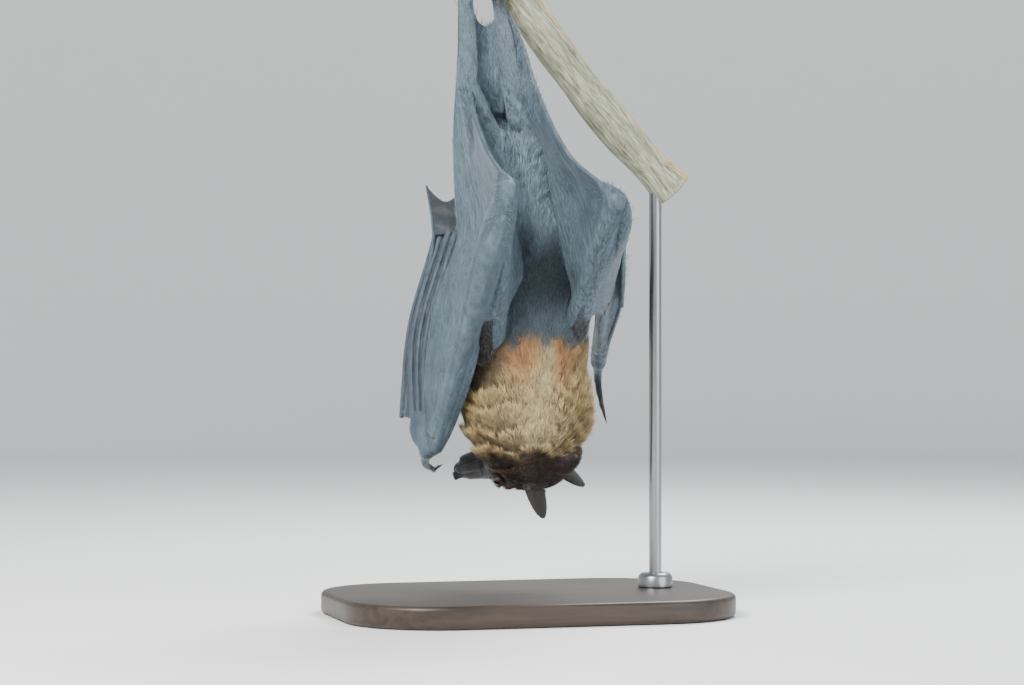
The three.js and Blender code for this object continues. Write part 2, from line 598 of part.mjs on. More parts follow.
// The rod is let into the base and into the underside of the branch.
const rodSolid = (grow = 0) => {
  const r = STAND.rod;
  const [foot, top] = [4, PERCH.middle.z + (r.x - PERCH.middle.x) * Math.tan(slope) - 3];
  const rod = new THREE.CylinderGeometry(r.radius + grow, r.radius + grow, top - foot + 2 * grow, 10);
  rod.rotateX(Math.PI / 2);
  rod.translate(r.x, r.y, (top + foot) / 2);
  return solid(rod);
};
const baseSolid = () => {
  const b = STAND.base;
  const [halfLong, halfDeep] = [b.length / 2 - b.edge, b.depth / 2 - b.edge];
  const outline = new THREE.Shape();
  outline.moveTo(-halfLong + b.corner, -halfDeep);
  outline.lineTo(halfLong - b.corner, -halfDeep);
  outline.absarc(halfLong - b.corner, -halfDeep + b.corner, b.corner, -Math.PI / 2, 0);
  outline.absarc(halfLong - b.corner, halfDeep - b.corner, b.corner, 0, Math.PI / 2);
  outline.absarc(-halfLong + b.corner, halfDeep - b.corner, b.corner, Math.PI / 2, Math.PI);
  outline.absarc(-halfLong + b.corner, -halfDeep + b.corner, b.corner, Math.PI, Math.PI * 1.5);
  const plate = new THREE.ExtrudeGeometry(outline, {
    depth: b.height - 2 * b.edge, bevelThickness: b.edge, bevelSize: b.edge, bevelSegments: 1, curveSegments: 3,
  });
  plate.translate(0, 0, b.edge);
  return solid(plate);
};
const collarSolid = () => {
  const c = STAND.collar;
  const r = STAND.rod.radius + GAP;
  const bevel = c.height - 2;
  const profile = [[r, 0], [c.radius, 0], [c.radius, bevel], [c.radius - 2, c.height], [r, c.height], [r, 0]];
  const ring = new THREE.LatheGeometry(profile.map(([x, y]) => new THREE.Vector2(x, y)), 10);
  ring.rotateX(Math.PI / 2);
  ring.translate(STAND.rod.x, STAND.rod.y, STAND.base.height + 0.3);
  return solid(ring);
};

add("stand_base", without(baseSolid(), [rodSolid(GAP)]), "standWood");
add("stand_rod", rodSolid(), "standMetal");
add("stand_collar", collarSolid(), "standMetal");
add("branch", without(branchSolid(), [rodSolid(GAP)]), "branch");

const torso = [trunkSolid(GAP), ruffSolid(GAP), headSolid(GAP)];
const eyes = [-1, 1].map((hand) => eyeSolid(hand, GAP));
add("trunk", trunkSolid(), "backFur");
add("head", without(headSolid(), [torso[0], ...eyes]), "face");
add("neck", without(ruffSolid(), [torso[0], torso[2], ...eyes]), "mantle");

for (const [name, hand] of [["left", -1], ["right", 1]]) {
  add(`eye_${name}`, eyeSolid(hand), "eye");
  add(`ear_${name}`, without(earSolid(hand), [headSolid(GAP), ruffSolid(GAP)]), "face");
}

const webCuts = [...torso];
for (const leg of Object.values(LEGS)) {
  webCuts.push(thighSolid(leg, GAP), shankSolid(leg, GAP), footSolid(leg, GAP));
}
for (const wing of Object.values(WINGS)) {
  webCuts.push(upperArmSolid(wing, GAP), forearmSolid(wing, GAP), thumbSolid(wing, GAP));
  webCuts.push(handSolid(wing), handSolid(wing, GAP), indexSolid(wing, GAP));
}

for (const [name, hand] of [["left", 1], ["right", -1]]) {
  const [leg, wing] = [LEGS[name], WINGS[name]];

  add(`thigh_${name}`, without(thighSolid(leg), [torso[0]]), "backFur");
  add(`shank_${name}`, without(shankSolid(leg), [thighSolid(leg, GAP)]), "backFur");
  add(`foot_${name}`, without(footSolid(leg), [shankSolid(leg, GAP)]), "footSkin");
  for (let toe = 0; toe < FOOT.toes; toe++) {
    add(`claw_${name}_toe_${toe + 1}`, toeClawSolid(leg, toe), "claw");
  }

  const armCuts = [...torso, upperArmSolid(wing, GAP)];
  const handCuts = [...armCuts, forearmSolid(wing, GAP)];
  add(`upper_arm_${name}`, without(upperArmSolid(wing), torso), "backFur");
  add(`forearm_${name}`, without(forearmSolid(wing), armCuts), "wingSkin");
  add(`thumb_${name}`, without(thumbSolid(wing), [forearmSolid(wing, GAP), handSolid(wing, GAP)]), "wingSkin");
  add(`hand_${name}`, without(handSolid(wing), handCuts), "wingSkin");
  handCuts.push(thumbSolid(wing, GAP), handSolid(wing, GAP));
  add(`index_finger_${name}`, without(indexSolid(wing), handCuts), "wingSkin");

  const thumbCurl = wing.claw.clone().sub(wing.thumb[1]).normalize();
  const thumbClaw = fingerClawSolid(wing.thumb[1], wing.thumb[0], thumbCurl, 13, 2.2);
  add(`claw_${name}_thumb`, without(thumbClaw, [thumbSolid(wing, GAP)]), "claw");
  const line = indexLine(wing);
  const indexClaw = fingerClawSolid(line[3], line[2], wing.beside.clone().normalize(), 9, 1.5);
  add(`claw_${name}_index`, without(indexClaw, [indexSolid(wing, GAP), handSolid(wing, GAP)]), "claw");

  const [inner, outer] = [innerWebSurface(wing, leg, hand), outerWebSurface(wing, leg, hand)];
  const web = (surface, grow = 0) => solid(sheet(surface, { across: 2, along: 6, grow }));
  add(`wing_skin_${name}`, without(joined([web(inner), web(outer)]), webCuts), "wingSkin");
  webCuts.push(web(inner, GAP), web(outer, GAP));
  add(`front_wing_skin_${name}`, without(web(frontWebSurface(wing)), webCuts), "wingSkin");
}
add("tail_skin", without(tailSkinSolid(), webCuts), "wingSkin");

export default bat;
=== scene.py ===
import math
import bpy
import numpy as np
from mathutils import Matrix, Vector


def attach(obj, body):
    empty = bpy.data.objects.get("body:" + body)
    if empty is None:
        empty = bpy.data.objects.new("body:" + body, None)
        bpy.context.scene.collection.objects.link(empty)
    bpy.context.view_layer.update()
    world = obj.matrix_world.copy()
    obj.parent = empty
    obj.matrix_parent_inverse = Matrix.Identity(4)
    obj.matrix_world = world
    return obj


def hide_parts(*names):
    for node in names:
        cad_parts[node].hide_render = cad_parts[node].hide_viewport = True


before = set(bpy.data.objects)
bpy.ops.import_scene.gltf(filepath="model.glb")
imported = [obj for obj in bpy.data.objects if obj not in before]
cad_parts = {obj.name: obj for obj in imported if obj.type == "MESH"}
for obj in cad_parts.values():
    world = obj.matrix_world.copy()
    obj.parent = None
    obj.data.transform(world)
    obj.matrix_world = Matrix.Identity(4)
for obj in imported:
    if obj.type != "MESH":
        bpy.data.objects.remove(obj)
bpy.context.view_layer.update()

mm = 0.001  # every size below is in millimetres
dice = np.random.default_rng(11)


# Vectors, curves and blends

def vec(*numbers):
    return np.array(numbers, float)


def unit(v):
    return v / np.maximum(np.linalg.norm(v, axis=-1, keepdims=True), 1e-12)


def blend(low, high, x):  # smoothly from 0 at low to 1 at high
    t = np.clip((x - low) / (high - low), 0, 1)
    return t * t * (3 - 2 * t)


def mix(a, b, share):
    return a + (b - a) * share


def steps(a, b, *shares):
    return [mix(a, b, share) for share in shares]


def mound(x, width):  # a smooth hump of height 1 about 0
    return np.exp(-(x / width) ** 2)


def circle(count):
    return np.linspace(0, 2 * math.pi, count, endpoint=False)


def curve(places, even=False):  # a smooth line through places, as a function of a share from 0 to 1
    p = np.array(places, float)
    p = np.vstack([2 * p[0] - p[1], p, 2 * p[-1] - p[-2]])
    gap = np.ones(len(p) - 1) if even else np.maximum(np.sum(np.diff(p, axis=0) ** 2, axis=1) ** 0.25, 1e-4)
    last = len(places) - 1

    def at(t):
        t = np.asarray(t, float) * last
        k = np.clip(t.astype(int), 0, last - 1)
        w = (t - k)[..., None]
        a, b, c, d = (p[k + i] for i in range(4))
        g0, g1, g2 = (gap[k + i][..., None] for i in range(3))
        m1 = ((b - a) / g0 - (c - a) / (g0 + g1) + (c - b) / g1) * g1
        m2 = ((c - b) / g1 - (d - b) / (g1 + g2) + (d - c) / g2) * g1
        return b + m1 * w + (3 * (c - b) - 2 * m1 - m2) * w ** 2 + (2 * (b - c) + m1 + m2) * w ** 3

    return at


def waves(points, size, seed, octaves=3):  # smooth noise from -1 to 1, made of a few crossing waves
    crossing, fainter, finer, gain = 5, 0.55, 1.9, 2.2
    own = np.random.default_rng(seed)
    total = np.zeros(points.shape[:-1])
    weight = 0
    for octave in range(octaves):
        share = fainter ** octave
        for _ in range(crossing):
            way = unit(own.normal(size=3)) * (2 * math.pi / size) * finer ** octave
            total += share * np.sin(points @ way + own.uniform(0, 6.28))
        weight += share * crossing
    return total / weight * gain


# Meshes from arrays

def makePiece(name, points, faces, material=None, colours=None, maps=None, fuzz=None):
    mesh = bpy.data.meshes.new(name)
    corners = np.concatenate([f.ravel() for f in faces]).astype(np.int32)
    sizes = np.concatenate([np.full(len(f), f.shape[1]) for f in faces])
    mesh.vertices.add(len(points))
    mesh.vertices.foreach_set("co", (points * mm).astype(np.float32).ravel())
    mesh.loops.add(len(corners))
    mesh.loops.foreach_set("vertex_index", corners)
    mesh.polygons.add(len(sizes))
    mesh.polygons.foreach_set("loop_start", (np.cumsum(sizes) - sizes).astype(np.int32))
    mesh.update(calc_edges=True)
    mesh.shade_smooth()

    def fill(layer, field, values):
        layer.data.foreach_set(field, values.astype(np.float32).ravel())

    if colours is not None:
        fill(mesh.color_attributes.new("coatColour", "FLOAT_COLOR", "POINT"), "color",
             np.column_stack([colours, np.ones(len(points))]))
    if maps is not None:
        fill(mesh.uv_layers.new(name="OFBake"), "uv", maps[corners])
    if fuzz is not None:
        fill(mesh.attributes.new("fuzz", "FLOAT", "POINT"), "value", fuzz)
    piece = bpy.data.objects.new(name, mesh)
    bpy.context.collection.objects.link(piece)
    if material:
        mesh.materials.append(material)
    return piece


def gridFaces(rows, columns, loop=False):
    i, j = np.meshgrid(np.arange(rows - 1), np.arange(columns if loop else columns - 1), indexing="ij")
    p = i * columns + j
    q = i * columns + (j + 1) % columns
    return np.stack([p, q, q + columns, p + columns], -1).reshape(-1, 4)


def fan(ring, pole):  # triangles from a closed ring of corners to one corner
    return np.stack([ring, np.roll(ring, -1), np.full(len(ring), pole)], -1)


def facingOut(points, faces):
    volume = 0
    for f in faces:
        for k in range(1, f.shape[1] - 1):
            volume += np.sum(points[f[:, 0]] * np.cross(points[f[:, k]], points[f[:, k + 1]]))
    return points, [f[:, ::-1] if volume < 0 else f for f in faces]


def joined(parts):  # several (points, faces) as one
    points, faces, count = [], [], 0
    for p, group in parts:
        points.append(p)
        faces += [f + count for f in group]
        count += len(p)
    return np.vstack(points), faces


def cornersOf(points, triangles):
    return (points[triangles[:, k]] for k in range(3))


def cornerNormals(points, triangles):
    a, b, c = cornersOf(points, triangles)
    flat = np.cross(b - a, c - a)
    total = np.zeros_like(points)
    for k in range(3):
        for axis in range(3):
            total[:, axis] += np.bincount(triangles[:, k], flat[:, axis], len(points))
    return unit(total)


def limb(through, wide, deep=None, side=(1, 0, 0), around=40, along=40, ends=(1, 1), shape=None):
    # A closed tube with domed ends through some places; wide and deep are its half widths and depths there.
    line = curve(through)
    sizes = curve([(w, d, 0) for w, d in zip(wide, wide if deep is None else deep)], even=True)
    step = 1e-3
    dome = np.sin(np.linspace(0, math.pi / 2, 9))[1:-1]
    shut = np.sqrt(1 - dome * dome)
    t = np.concatenate([0 * dome, np.linspace(0, 1, along), 0 * dome + 1])
    reach = np.concatenate([-dome[::-1] * ends[0], np.zeros(along), dome * ends[1]])
    shrink = np.concatenate([shut[::-1], np.ones(along), shut])
    ahead = unit(line(np.minimum(t + step, 1)) - line(np.maximum(t - step, 0)))
    halves = sizes(t)[:, :2]
    middle = line(t) + ahead * (reach * halves.min(axis=1))[:, None]
    side = np.array(side, float)
    across = unit(side - ahead * (ahead @ side)[:, None])
    over = np.cross(ahead, across)
    turn = circle(around)
    ring = (across[:, None] * (np.cos(turn)[None, :, None] * halves[:, 0, None, None])
            + over[:, None] * (np.sin(turn)[None, :, None] * halves[:, 1, None, None])) * shrink[:, None, None]
    if shape:
        ring = ring * shape(t[:, None], turn[None, :])[..., None]
    body = (middle[:, None] + ring).reshape(-1, 3)
    poles = middle[[0, -1]]
    for k, way in ((0, -1), (-1, 1)):
        poles[k] += way * ahead[k] * (ends[k] * (1 - dome[-1])) * halves[k].min()
    count = len(body)
    quads = gridFaces(len(t), around, loop=True)[:, ::-1]
    first = fan(np.arange(around), count)[:, [2, 0, 1]]
    last = fan(np.arange(count - around, count), count + 1)[:, [2, 1, 0]]
    return facingOut(np.vstack([body, poles]), [quads, np.vstack([first, last])])


def remeshed(name, parts, voxel, rounds):  # the parts melted together into one even skin of triangles
    piece = makePiece(name, *joined(parts))
    melt = piece.modifiers.new("melt", "REMESH")
    melt.mode = "VOXEL"
    melt.voxel_size = voxel * 1 * mm
    ease = piece.modifiers.new("ease", "SMOOTH")
    ease.factor = 0.5
    ease.iterations = rounds
    shown = piece.evaluated_get(bpy.context.evaluated_depsgraph_get())
    mesh = shown.to_mesh()
    mesh.calc_loop_triangles()

    def read(items, field, kind):
        values = np.empty(len(items) * 3, kind)
        items.foreach_get(field, values)
        return values.reshape(-1, 3)

    points = read(mesh.vertices, "co", np.float32).astype(float) / mm
    normals = read(mesh.vertices, "normal", np.float32).astype(float)
    triangles = read(mesh.loop_triangles, "vertices", np.int32)
    shown.to_mesh_clear()
    mesh = piece.data
    bpy.data.objects.remove(piece)
    bpy.data.meshes.remove(mesh)
    print(name, len(points))
    return points, triangles, normals


def sheet(surface, across, along, front, back):
    # A thin closed skin about a surface of two shares; front and back say how thick each side is.
    s, t = np.meshgrid(np.linspace(0, 1, across + 1), np.linspace(0, 1, along + 1))
    middle = surface(s, t)
    normal = unit(np.cross(np.gradient(middle, axis=1), np.gradient(middle, axis=0)))
    if np.sum(normal @ behind) < 0:
        normal = -normal
    upper = middle + normal * front(s, t)[..., None]
    lower = middle - normal * back(s, t)[..., None]
    rows, columns = along + 1, across + 1
    top = gridFaces(rows, columns)
    rim = np.concatenate([np.arange(columns), np.arange(1, rows) * columns + columns - 1,
                          (rows - 1) * columns + np.arange(columns - 2, -1, -1),
                          np.arange(rows - 2, 0, -1) * columns])
    following = np.roll(rim, -1)
    under = rows * columns
    sides = np.stack([following, rim, rim + under, following + under], -1)
    points = np.vstack([upper.reshape(-1, 3), lower.reshape(-1, 3)])
    return facingOut(points, [top, top[:, ::-1] + under, sides])


# The bat's frame: the same named places and sizes as its solids

body = {  # each row of spine and ruff: place, half width, half depth
    "spine": [((-15, -2, 312), 15, 14), ((-13, 0, 292), 26, 23), ((-5.5, 1.5, 268), 29.5, 26.5),
              ((1, 2.5, 240), 31.5, 29.5), ((6.5, 3, 207), 35, 33), ((5, 3, 182), 37.5, 36),
              ((3, 2.5, 160), 38.5, 36.5)],
    "ruff": [((2.8, 2.8, 158), 38.8, 36.7), ((2, 5.5, 138), 42, 37.5), ((2.5, 9, 121), 43, 36),
             ((3.5, 13, 108), 37, 30), ((5, 16, 100), 29, 24)],
    "coat": 3.8, "ruffCoat": 4.4,  # how deep the fur is, and so how far the skin lies inside
    "voxel": 1.55, "rounds": 5,
}
head = {
    "middle": vec(12.9, 20.8, 97), "ahead": unit(vec(-0.588, 0.777, -0.27)),
    "crown": vec(0.3994, 0.044, -0.911),
    # distance ahead, half width, half height, lift of the middle
    "sections": [(-15, 17.5, 16.5, 0), (-5, 21.5, 20.5, 0), (7, 22, 20.5, -0.5), (17, 19.5, 18, -2),
                 (26, 15, 14.5, -4), (35, 11.4, 12, -5.8), (45, 9.4, 10.4, -7), (54, 8.3, 9.2, -7.8),
                 (59, 7, 7.4, -8)],
    "eye": (24, 13.4, 1.8), "eyeRadius": 5.4,
    "earRoot": (-1, 15.5, 10), "earTip": (-5, 28.5, 33), "earWidth": 17, "earCup": 5, "earToe": -0.25,
    "nostril": (61.5, 4.4, -6), "nostrilRadius": 2.6,
    "coat": 1.5, "voxel": 0.6, "rounds": 3,
}
wings = {
    "right": {
        "shoulder": vec(-29, -8, 166), "elbow": vec(-38.6, -88, 262.8), "cuff": vec(-57, 15.6, 104),
        "wrist": vec(-60.5, 18.5, 102), "palm": vec(-64, 22.5, 109), "knuckle": vec(-42.6, 33, 240),
        "fold": vec(-71.7, 40.6, 122), "tip": vec(-55.8, 39.2, 273), "fan": vec(-3.6, 5.5, 0),
        "bow": vec(-9, 2.6, 0), "whip": vec(8.4, -2.4, 0), "beside": vec(1.5, 6.8, -2.5),
        "thumb": [vec(-58, 33, 94), vec(-50, 45, 90)], "claw": vec(-44, 49, 97),
        "edge": [vec(-44.5, 3, 352), vec(-45.5, 10, 300)],
        "ridge": [vec(-45, -21, 352), vec(-48.5, -43, 318), vec(-45, -66, 288)],
        "flap": vec(11.5, -1, 0), "web": [vec(-37, 28, 241), vec(-35, 21.7, 270)], "arm": (12.5, 9.5),
        "loose": 1,  # how softly the skin passes over the forearm
    },
    "left": {
        "shoulder": vec(25.5, -7, 168), "elbow": vec(27, -97, 256.5), "cuff": vec(65, 58, 162),
        "wrist": vec(67, 62, 158), "palm": vec(68, 59, 166), "knuckle": vec(48, -43, 245),
        "fold": vec(66, 56, 188), "tip": vec(37, -62, 238), "fan": vec(0.85, 5.4, 6.5),
        "bow": vec(6, -1.7, 0), "whip": vec(2, -1, 3), "beside": vec(2, 3.6, 5),
        "thumb": [vec(69, 70, 146), vec(71, 69, 132)], "claw": vec(73, 61, 122),
        "edge": [vec(-9, -22, 350), vec(8, -48, 292)],
        "ridge": [vec(-10, -19, 360), vec(-7.5, -45, 327), vec(5, -74, 285)],
        "flap": vec(-3.5, 0, -2), "web": [vec(41, -42, 240), vec(36, -57, 248)], "arm": (11, 6.8),
        "loose": 0.45,
    },
}
arm = {"elbow": 7.2, "wrist": 5.4, "thin": 4.4, "coat": 0.7, "upperCoat": 2}
foreShares = [0, 0.2, 0.5, 0.82, 1]  # stations along the forearm, and its half widths there
foreSizes = vec(arm["elbow"], 9.4, 6.3, arm["thin"], arm["wrist"])
finger = {"bone": 2.0, "joint": 2.7, "end": 1.1, "web": 0.45}
legs = {
    "right": {"hip": vec(-27, -6, 286), "knee": vec(-47, -31, 328), "ankle": vec(-41.4, -4, 402.6),
              "grip": -14},  # how far along the branch the foot holds it
    "left": {"hip": vec(1, -6, 286), "knee": vec(-17.5, -31, 324), "ankle": vec(-20.7, -4, 387), "grip": 14},
}
leg = {"hip": 15, "thigh": 12.5, "knee": 9, "calf": 6.6, "ankle": 4.6, "coat": 3,
       "rump": vec(-7, 0, 276), "loin": vec(-3, 0, 256)}  # where the thigh's flesh runs to
perch = {"middle": vec(-29, 8, 422), "slope": -49.4, "up": 80, "down": 200, "radius": 11.5, "sag": 6}
hands = (("left", 1), ("right", -1))
behind = unit(vec(-0.276, -0.961, 0))  # the side of the back

headRight = unit(np.cross(head["ahead"], head["crown"]))
headUp = np.cross(headRight, head["ahead"])
headAxes = np.stack([head["ahead"], headRight, headUp])
branchSlope = math.radians(perch["slope"])
branchWay = vec(math.cos(branchSlope), 0, math.sin(branchSlope))
branchOver = vec(-branchWay[2], 0, branchWay[0])


def inHead(ahead, out, lift):
    return head["middle"] + vec(ahead, out, lift) @ headAxes


def toHead(points):  # ahead, out and lift of each point
    return (points - head["middle"]) @ headAxes.T


def onBranch(distance, angle, radius):
    turn = math.radians(angle)
    return (perch["middle"] + branchWay * distance + vec(0, -1, 0) * math.cos(turn) * radius
            + branchOver * math.sin(turn) * radius)


# Flesh: trunk, neck, legs and arms melt into one skin

def bodySkin():
    parts = []

    def add(places, sizes, deep=None, **more):
        parts.append(limb(places, sizes, deep, **more))

    layers = ((body["spine"], body["coat"], (1, 1)), (body["ruff"], body["ruffCoat"], (0.3, 0.5)))
    for rows, inset, ends in layers:
        places, wide, deep = zip(*rows)
        add(places, vec(*wide) - inset, vec(*deep) - inset, around=64, ends=ends)
    add([body["ruff"][2][0], body["ruff"][4][0], inHead(6, 0, 0)], [24, 20, 17])
    for name, hand in hands:
        own, wing = legs[name], wings[name]
        coat = leg["coat"]
        middle = mix(own["hip"], own["knee"], 0.5) + vec(0, -3, -1)
        add([own["hip"], middle, own["knee"]], [leg[part] - coat for part in ("hip", "thigh", "knee")])
        rump = mix(own["hip"], leg["rump"], 0.35) + vec(0, -7.5, -10)
        loin = mix(own["hip"], leg["loin"], 0.5) + vec(0, -3, -22)
        add([middle, rump, loin], [leg["thigh"] - coat, 13, 16])
        shin = mix(own["knee"], own["ankle"], 0.35) + vec(0, -2, 0)
        add([own["knee"], shin, own["ankle"]], [leg["knee"] - coat, leg["calf"] - 1.8, leg["ankle"] - 0.8])
        upper = [size - arm["upperCoat"] for size in wing["arm"]]
        add(steps(wing["shoulder"], wing["elbow"], 0, 0.5, 1), [*upper, arm["elbow"] - 1])
        add(steps(wing["elbow"], wing["cuff"], *foreShares), foreSizes - arm["coat"])
        bent = unit(wing["elbow"] - mix(wing["shoulder"], wing["cuff"], 0.5))
        add([wing["elbow"] - bent * 3, wing["elbow"] + bent * 1.6], [5.2, 4.6])
        shafts = handLines(wing)["shafts"]
        add([wing["cuff"], wing["wrist"]], [arm["wrist"] * 0.8, arm["wrist"]])
        add([wing["wrist"], mix(wing["palm"], shafts[1](0.1), 0.6)], [arm["wrist"] - 0.4, arm["thin"]])
        add([wing["wrist"], *wing["thumb"]], [3.8, 2.8, 2.1])
        for shaft in shafts:
            add([wing["wrist"], shaft(0.03), shaft(0.14)], [3.4, 3.1, 2.1])
    return remeshed("flesh", parts, body["voxel"], body["rounds"])


# The folded hand

def handLines(wing):
    fan, bow = wing["fan"], wing["bow"]
    knuckles = [wing["knuckle"] + fan * count for count in (1, 0, -1)]
    roots = [wing["palm"] + fan * 0.7 * count for count in (1, 0, -1)]
    shafts = [curve([root, mix(root, knuckle, 0.5) + bow, knuckle]) for root, knuckle in zip(roots, knuckles)]
    bent = mix(knuckles[0], wing["fold"], 0.5) + bow * 0.5 + fan * 0.6
    third = curve([knuckles[0] + fan * 0.6, bent, wing["fold"]])
    whipped = [mix(wing["fold"], wing["tip"], share) + wing["whip"] * size
               for share, size in ((0.42, 0.25), (0.75, 1))]
    return {
        "knuckles": knuckles, "shafts": shafts, "third": third,
        "thirdTip": curve([wing["fold"] - fan * 0.6, *whipped, wing["tip"]]),
        "fifth": [mix(knuckles[2], roots[2], 0.5) + bow * 0.9 - fan * 0.9, knuckles[2] - fan * 0.6],
        "index": [shafts[0](share) + wing["beside"] * out
                  for share, out in ((0.05, 0.95), (0.4, 1), (0.74, 1), (0.88, 1.2))],
    }


def handSkin(wing):  # the parts, each with how pale it is; the skin between the bones is less pale, as painted shade in the folds
    # Each pleat spans two finger bones that run side by side; the bones are round and knobbed at the joints.
    own = handLines(wing)
    shafts, third, thirdTip = own["shafts"], own["third"], own["thirdTip"]
    bone, web = finger["bone"], finger["web"]

    def part(line, start, end):
        return lambda t: line(mix(start, end, np.asarray(t, float)))

    def straight(a, b):
        return lambda t: a + (b - a) * np.asarray(t, float)[..., None]

    fifth = straight(*own["fifth"])
    bones = [(part(shaft, 0.08, 1), bone * 1.05, bone * 0.72, finger["joint"]) for shaft in shafts]
    bones += [(fifth, 1.2, 1.1, bone), (part(third, 0, 0.98), bone * 1.15, bone * 0.7, 1.7),
              (part(thirdTip, 0.02, 0.98), 1.7, 1.15, finger["end"] * 0.7),
              (straight(third(0.97), thirdTip(0.03)), 1.7, 1.5, 1.7)]
    parts = []
    for line, near, thin, far in bones:
        sizes = [near, mix(near, thin, 0.8), thin, thin, thin, mix(thin, far, 0.35), far]
        parts.append((limb(line(np.linspace(0, 1, 7)), sizes, around=14, along=48), 0.85))

    half = lambda s, t: web * (1 + 0.8 * mound(np.minimum(s, 1 - s), 0.16))
    rows = [part(shafts[k], 0.1, 1) for k in (2, 1, 0)] + [part(third, 0.98, 0.03), part(thirdTip, 0.02, 0.78)]
    for k, (first, second) in enumerate([(fifth, part(shafts[2], 0.5, 1)), *zip(rows, rows[1:])]):
        def surface(s, t):
            a, b = first(t), second(t)
            slack = np.sin(math.pi * s) * np.sin(math.pi * np.clip(t, 0.03, 0.98))
            ripple = 0.8 + 0.35 * np.sin(t * 13 + k * 2) + 0.25 * np.sin(t * 31 + s * 4 + k)
            return a + (b - a) * s[..., None] - behind * (slack * ripple)[..., None]
        parts.append((sheet(surface, 8, 96, half, half), 0.4))

    def tipSurface(s, t):
        t = t * (1 - 0.32 * np.sin(math.pi * np.clip(s, 0, 1)) * t)
        far = straight(*wing["web"])(t)
        near = thirdTip(0.7 + 0.28 * t)
        ruffle = np.sin(t * 17 + s * 3) * 0.5 * np.sin(math.pi * s)
        return near + (far - near) * s[..., None] + behind * ruffle[..., None]

    tipHalf = lambda s, t: web * (1 - 0.3 * s)
    knobs = lambda t, turn: 1 + 0.22 * mound(t - 0.4, 0.04) + 0.2 * mound(t - 0.74, 0.04)
    return parts + [(sheet(tipSurface, 20, 40, tipHalf, tipHalf), 0.1),
                    (limb(own["index"], [1.8, 1.6, 1.55, 1.35], around=14, along=50, shape=knobs), 0.85)]


# The flight skin

spineRows = np.array([(*p, w, d) for p, w, d in body["spine"] + body["ruff"][1:]])[::-1]  # from head to rump
flank = {"rows": [(292, 40), (268, 32), (240, 29), (212, 29), (196, 46)],  # height, and angle from the mid back
         "inset": 0.84}
elbowShare = 4 / 7  # where the elbow comes along the skin's long lines
flight = {
    "inner": (34, 101), "outer": (43, 124), "front": (28, 93),  # steps across and along each skin
    "over": 1.2, "loose": 0.9, "under": 1.05,  # how far it follows the limb behind and in front, in radii
}


def spineAt(height):  # place across and in depth, half width and half depth
    return [np.interp(height, spineRows[:, 2], spineRows[:, column]) for column in (0, 1, 3, 4)]


def flankLine(own, hand):
    places = []
    for height, angle in flank["rows"]:
        x, y, wide, deep = spineAt(height)
        turn = math.radians(angle)
        places.append((x + hand * math.sin(turn) * wide * flank["inset"],
                       y - math.cos(turn) * deep * flank["inset"], height))
    shin = mix(own["knee"], own["ankle"], 0.45) + vec(0, -2, 0)
    return curve([own["ankle"] + vec(0, -1, -5), shin, own["knee"] + vec(0, -3, -2), *places])


def foreRadius(share):
    stations = np.interp(share, foreShares, np.linspace(0, 1, 5))
    return curve([(size, 0, 0) for size in foreSizes])(stations)[..., 0] - arm["coat"]


def armRadius(wing):  # of the upper arm, from elbow to shoulder
    shoulder, middle = wing["arm"]
    sizes = [arm["elbow"], middle, shoulder]
    return lambda share: np.interp(share, [0, 0.5, 1], sizes) - arm["upperCoat"] * 0.6


def armLines(wing):  # from the elbow up to the shoulder, and down to the wrist
    return (lambda share: mix(wing["elbow"], wing["shoulder"], share),
            lambda share: mix(wing["elbow"], wing["cuff"], share))


def looseSkin(a, b, hand, sag=0, folds=0, seed=1):  # from one line to another
    def surface(s, t):
        start, end = a(t), b(t)
        place = start + (end - start) * s[..., None]
        dome = np.sin(math.pi * np.clip(s, 0, 1)) * np.sin(math.pi * t)
        place[..., 0] -= hand * sag * dome
        ripple = waves(np.stack([s * 30, t * 60, 0 * t], -1), 26, seed) * folds
        ripple += np.sin(s * 15 + t * 7) * folds * 0.35
        return place + behind * (ripple * np.clip(dome * 1.8, 0, 1))[..., None]
    return surface


def swell(surface, edge, radius, spread):
    # The skin's half thickness: it grows to the limb's radius along one edge, and is feathered out past it.
    web = finger["web"]

    def half(s, t):
        away = np.linalg.norm(surface(s, t) - surface(np.full_like(s, edge), t), axis=-1)
        r = np.maximum(radius(t), 0.05)
        past = (s - edge) * (1 if edge else -1) > 0
        feather = web * np.maximum(1 - 2 * away / r, -0.6) + np.sqrt(np.maximum(r * r - away * away, 0))
        return np.where(past, feather, web + r * mound(away, spread * r + 0.3))
    return half


def laidOver(surface, corners, front, back, start=None, end=None):
    # The closed skin, reaching a little over the limbs whose radii are given at its start and its end.
    def reach(s, t):
        wide = np.maximum(np.linalg.norm(surface(s * 0 + 1, t) - surface(s * 0, t), axis=-1), 3)
        before, after = (0.62 * radius(t) / wide if radius else 0 for radius in (start, end))
        return s * (1 + before + after) - before

    at = lambda shape: lambda s, t: shape(reach(s, t), t)
    return sheet(at(surface), *corners, at(front), at(back))


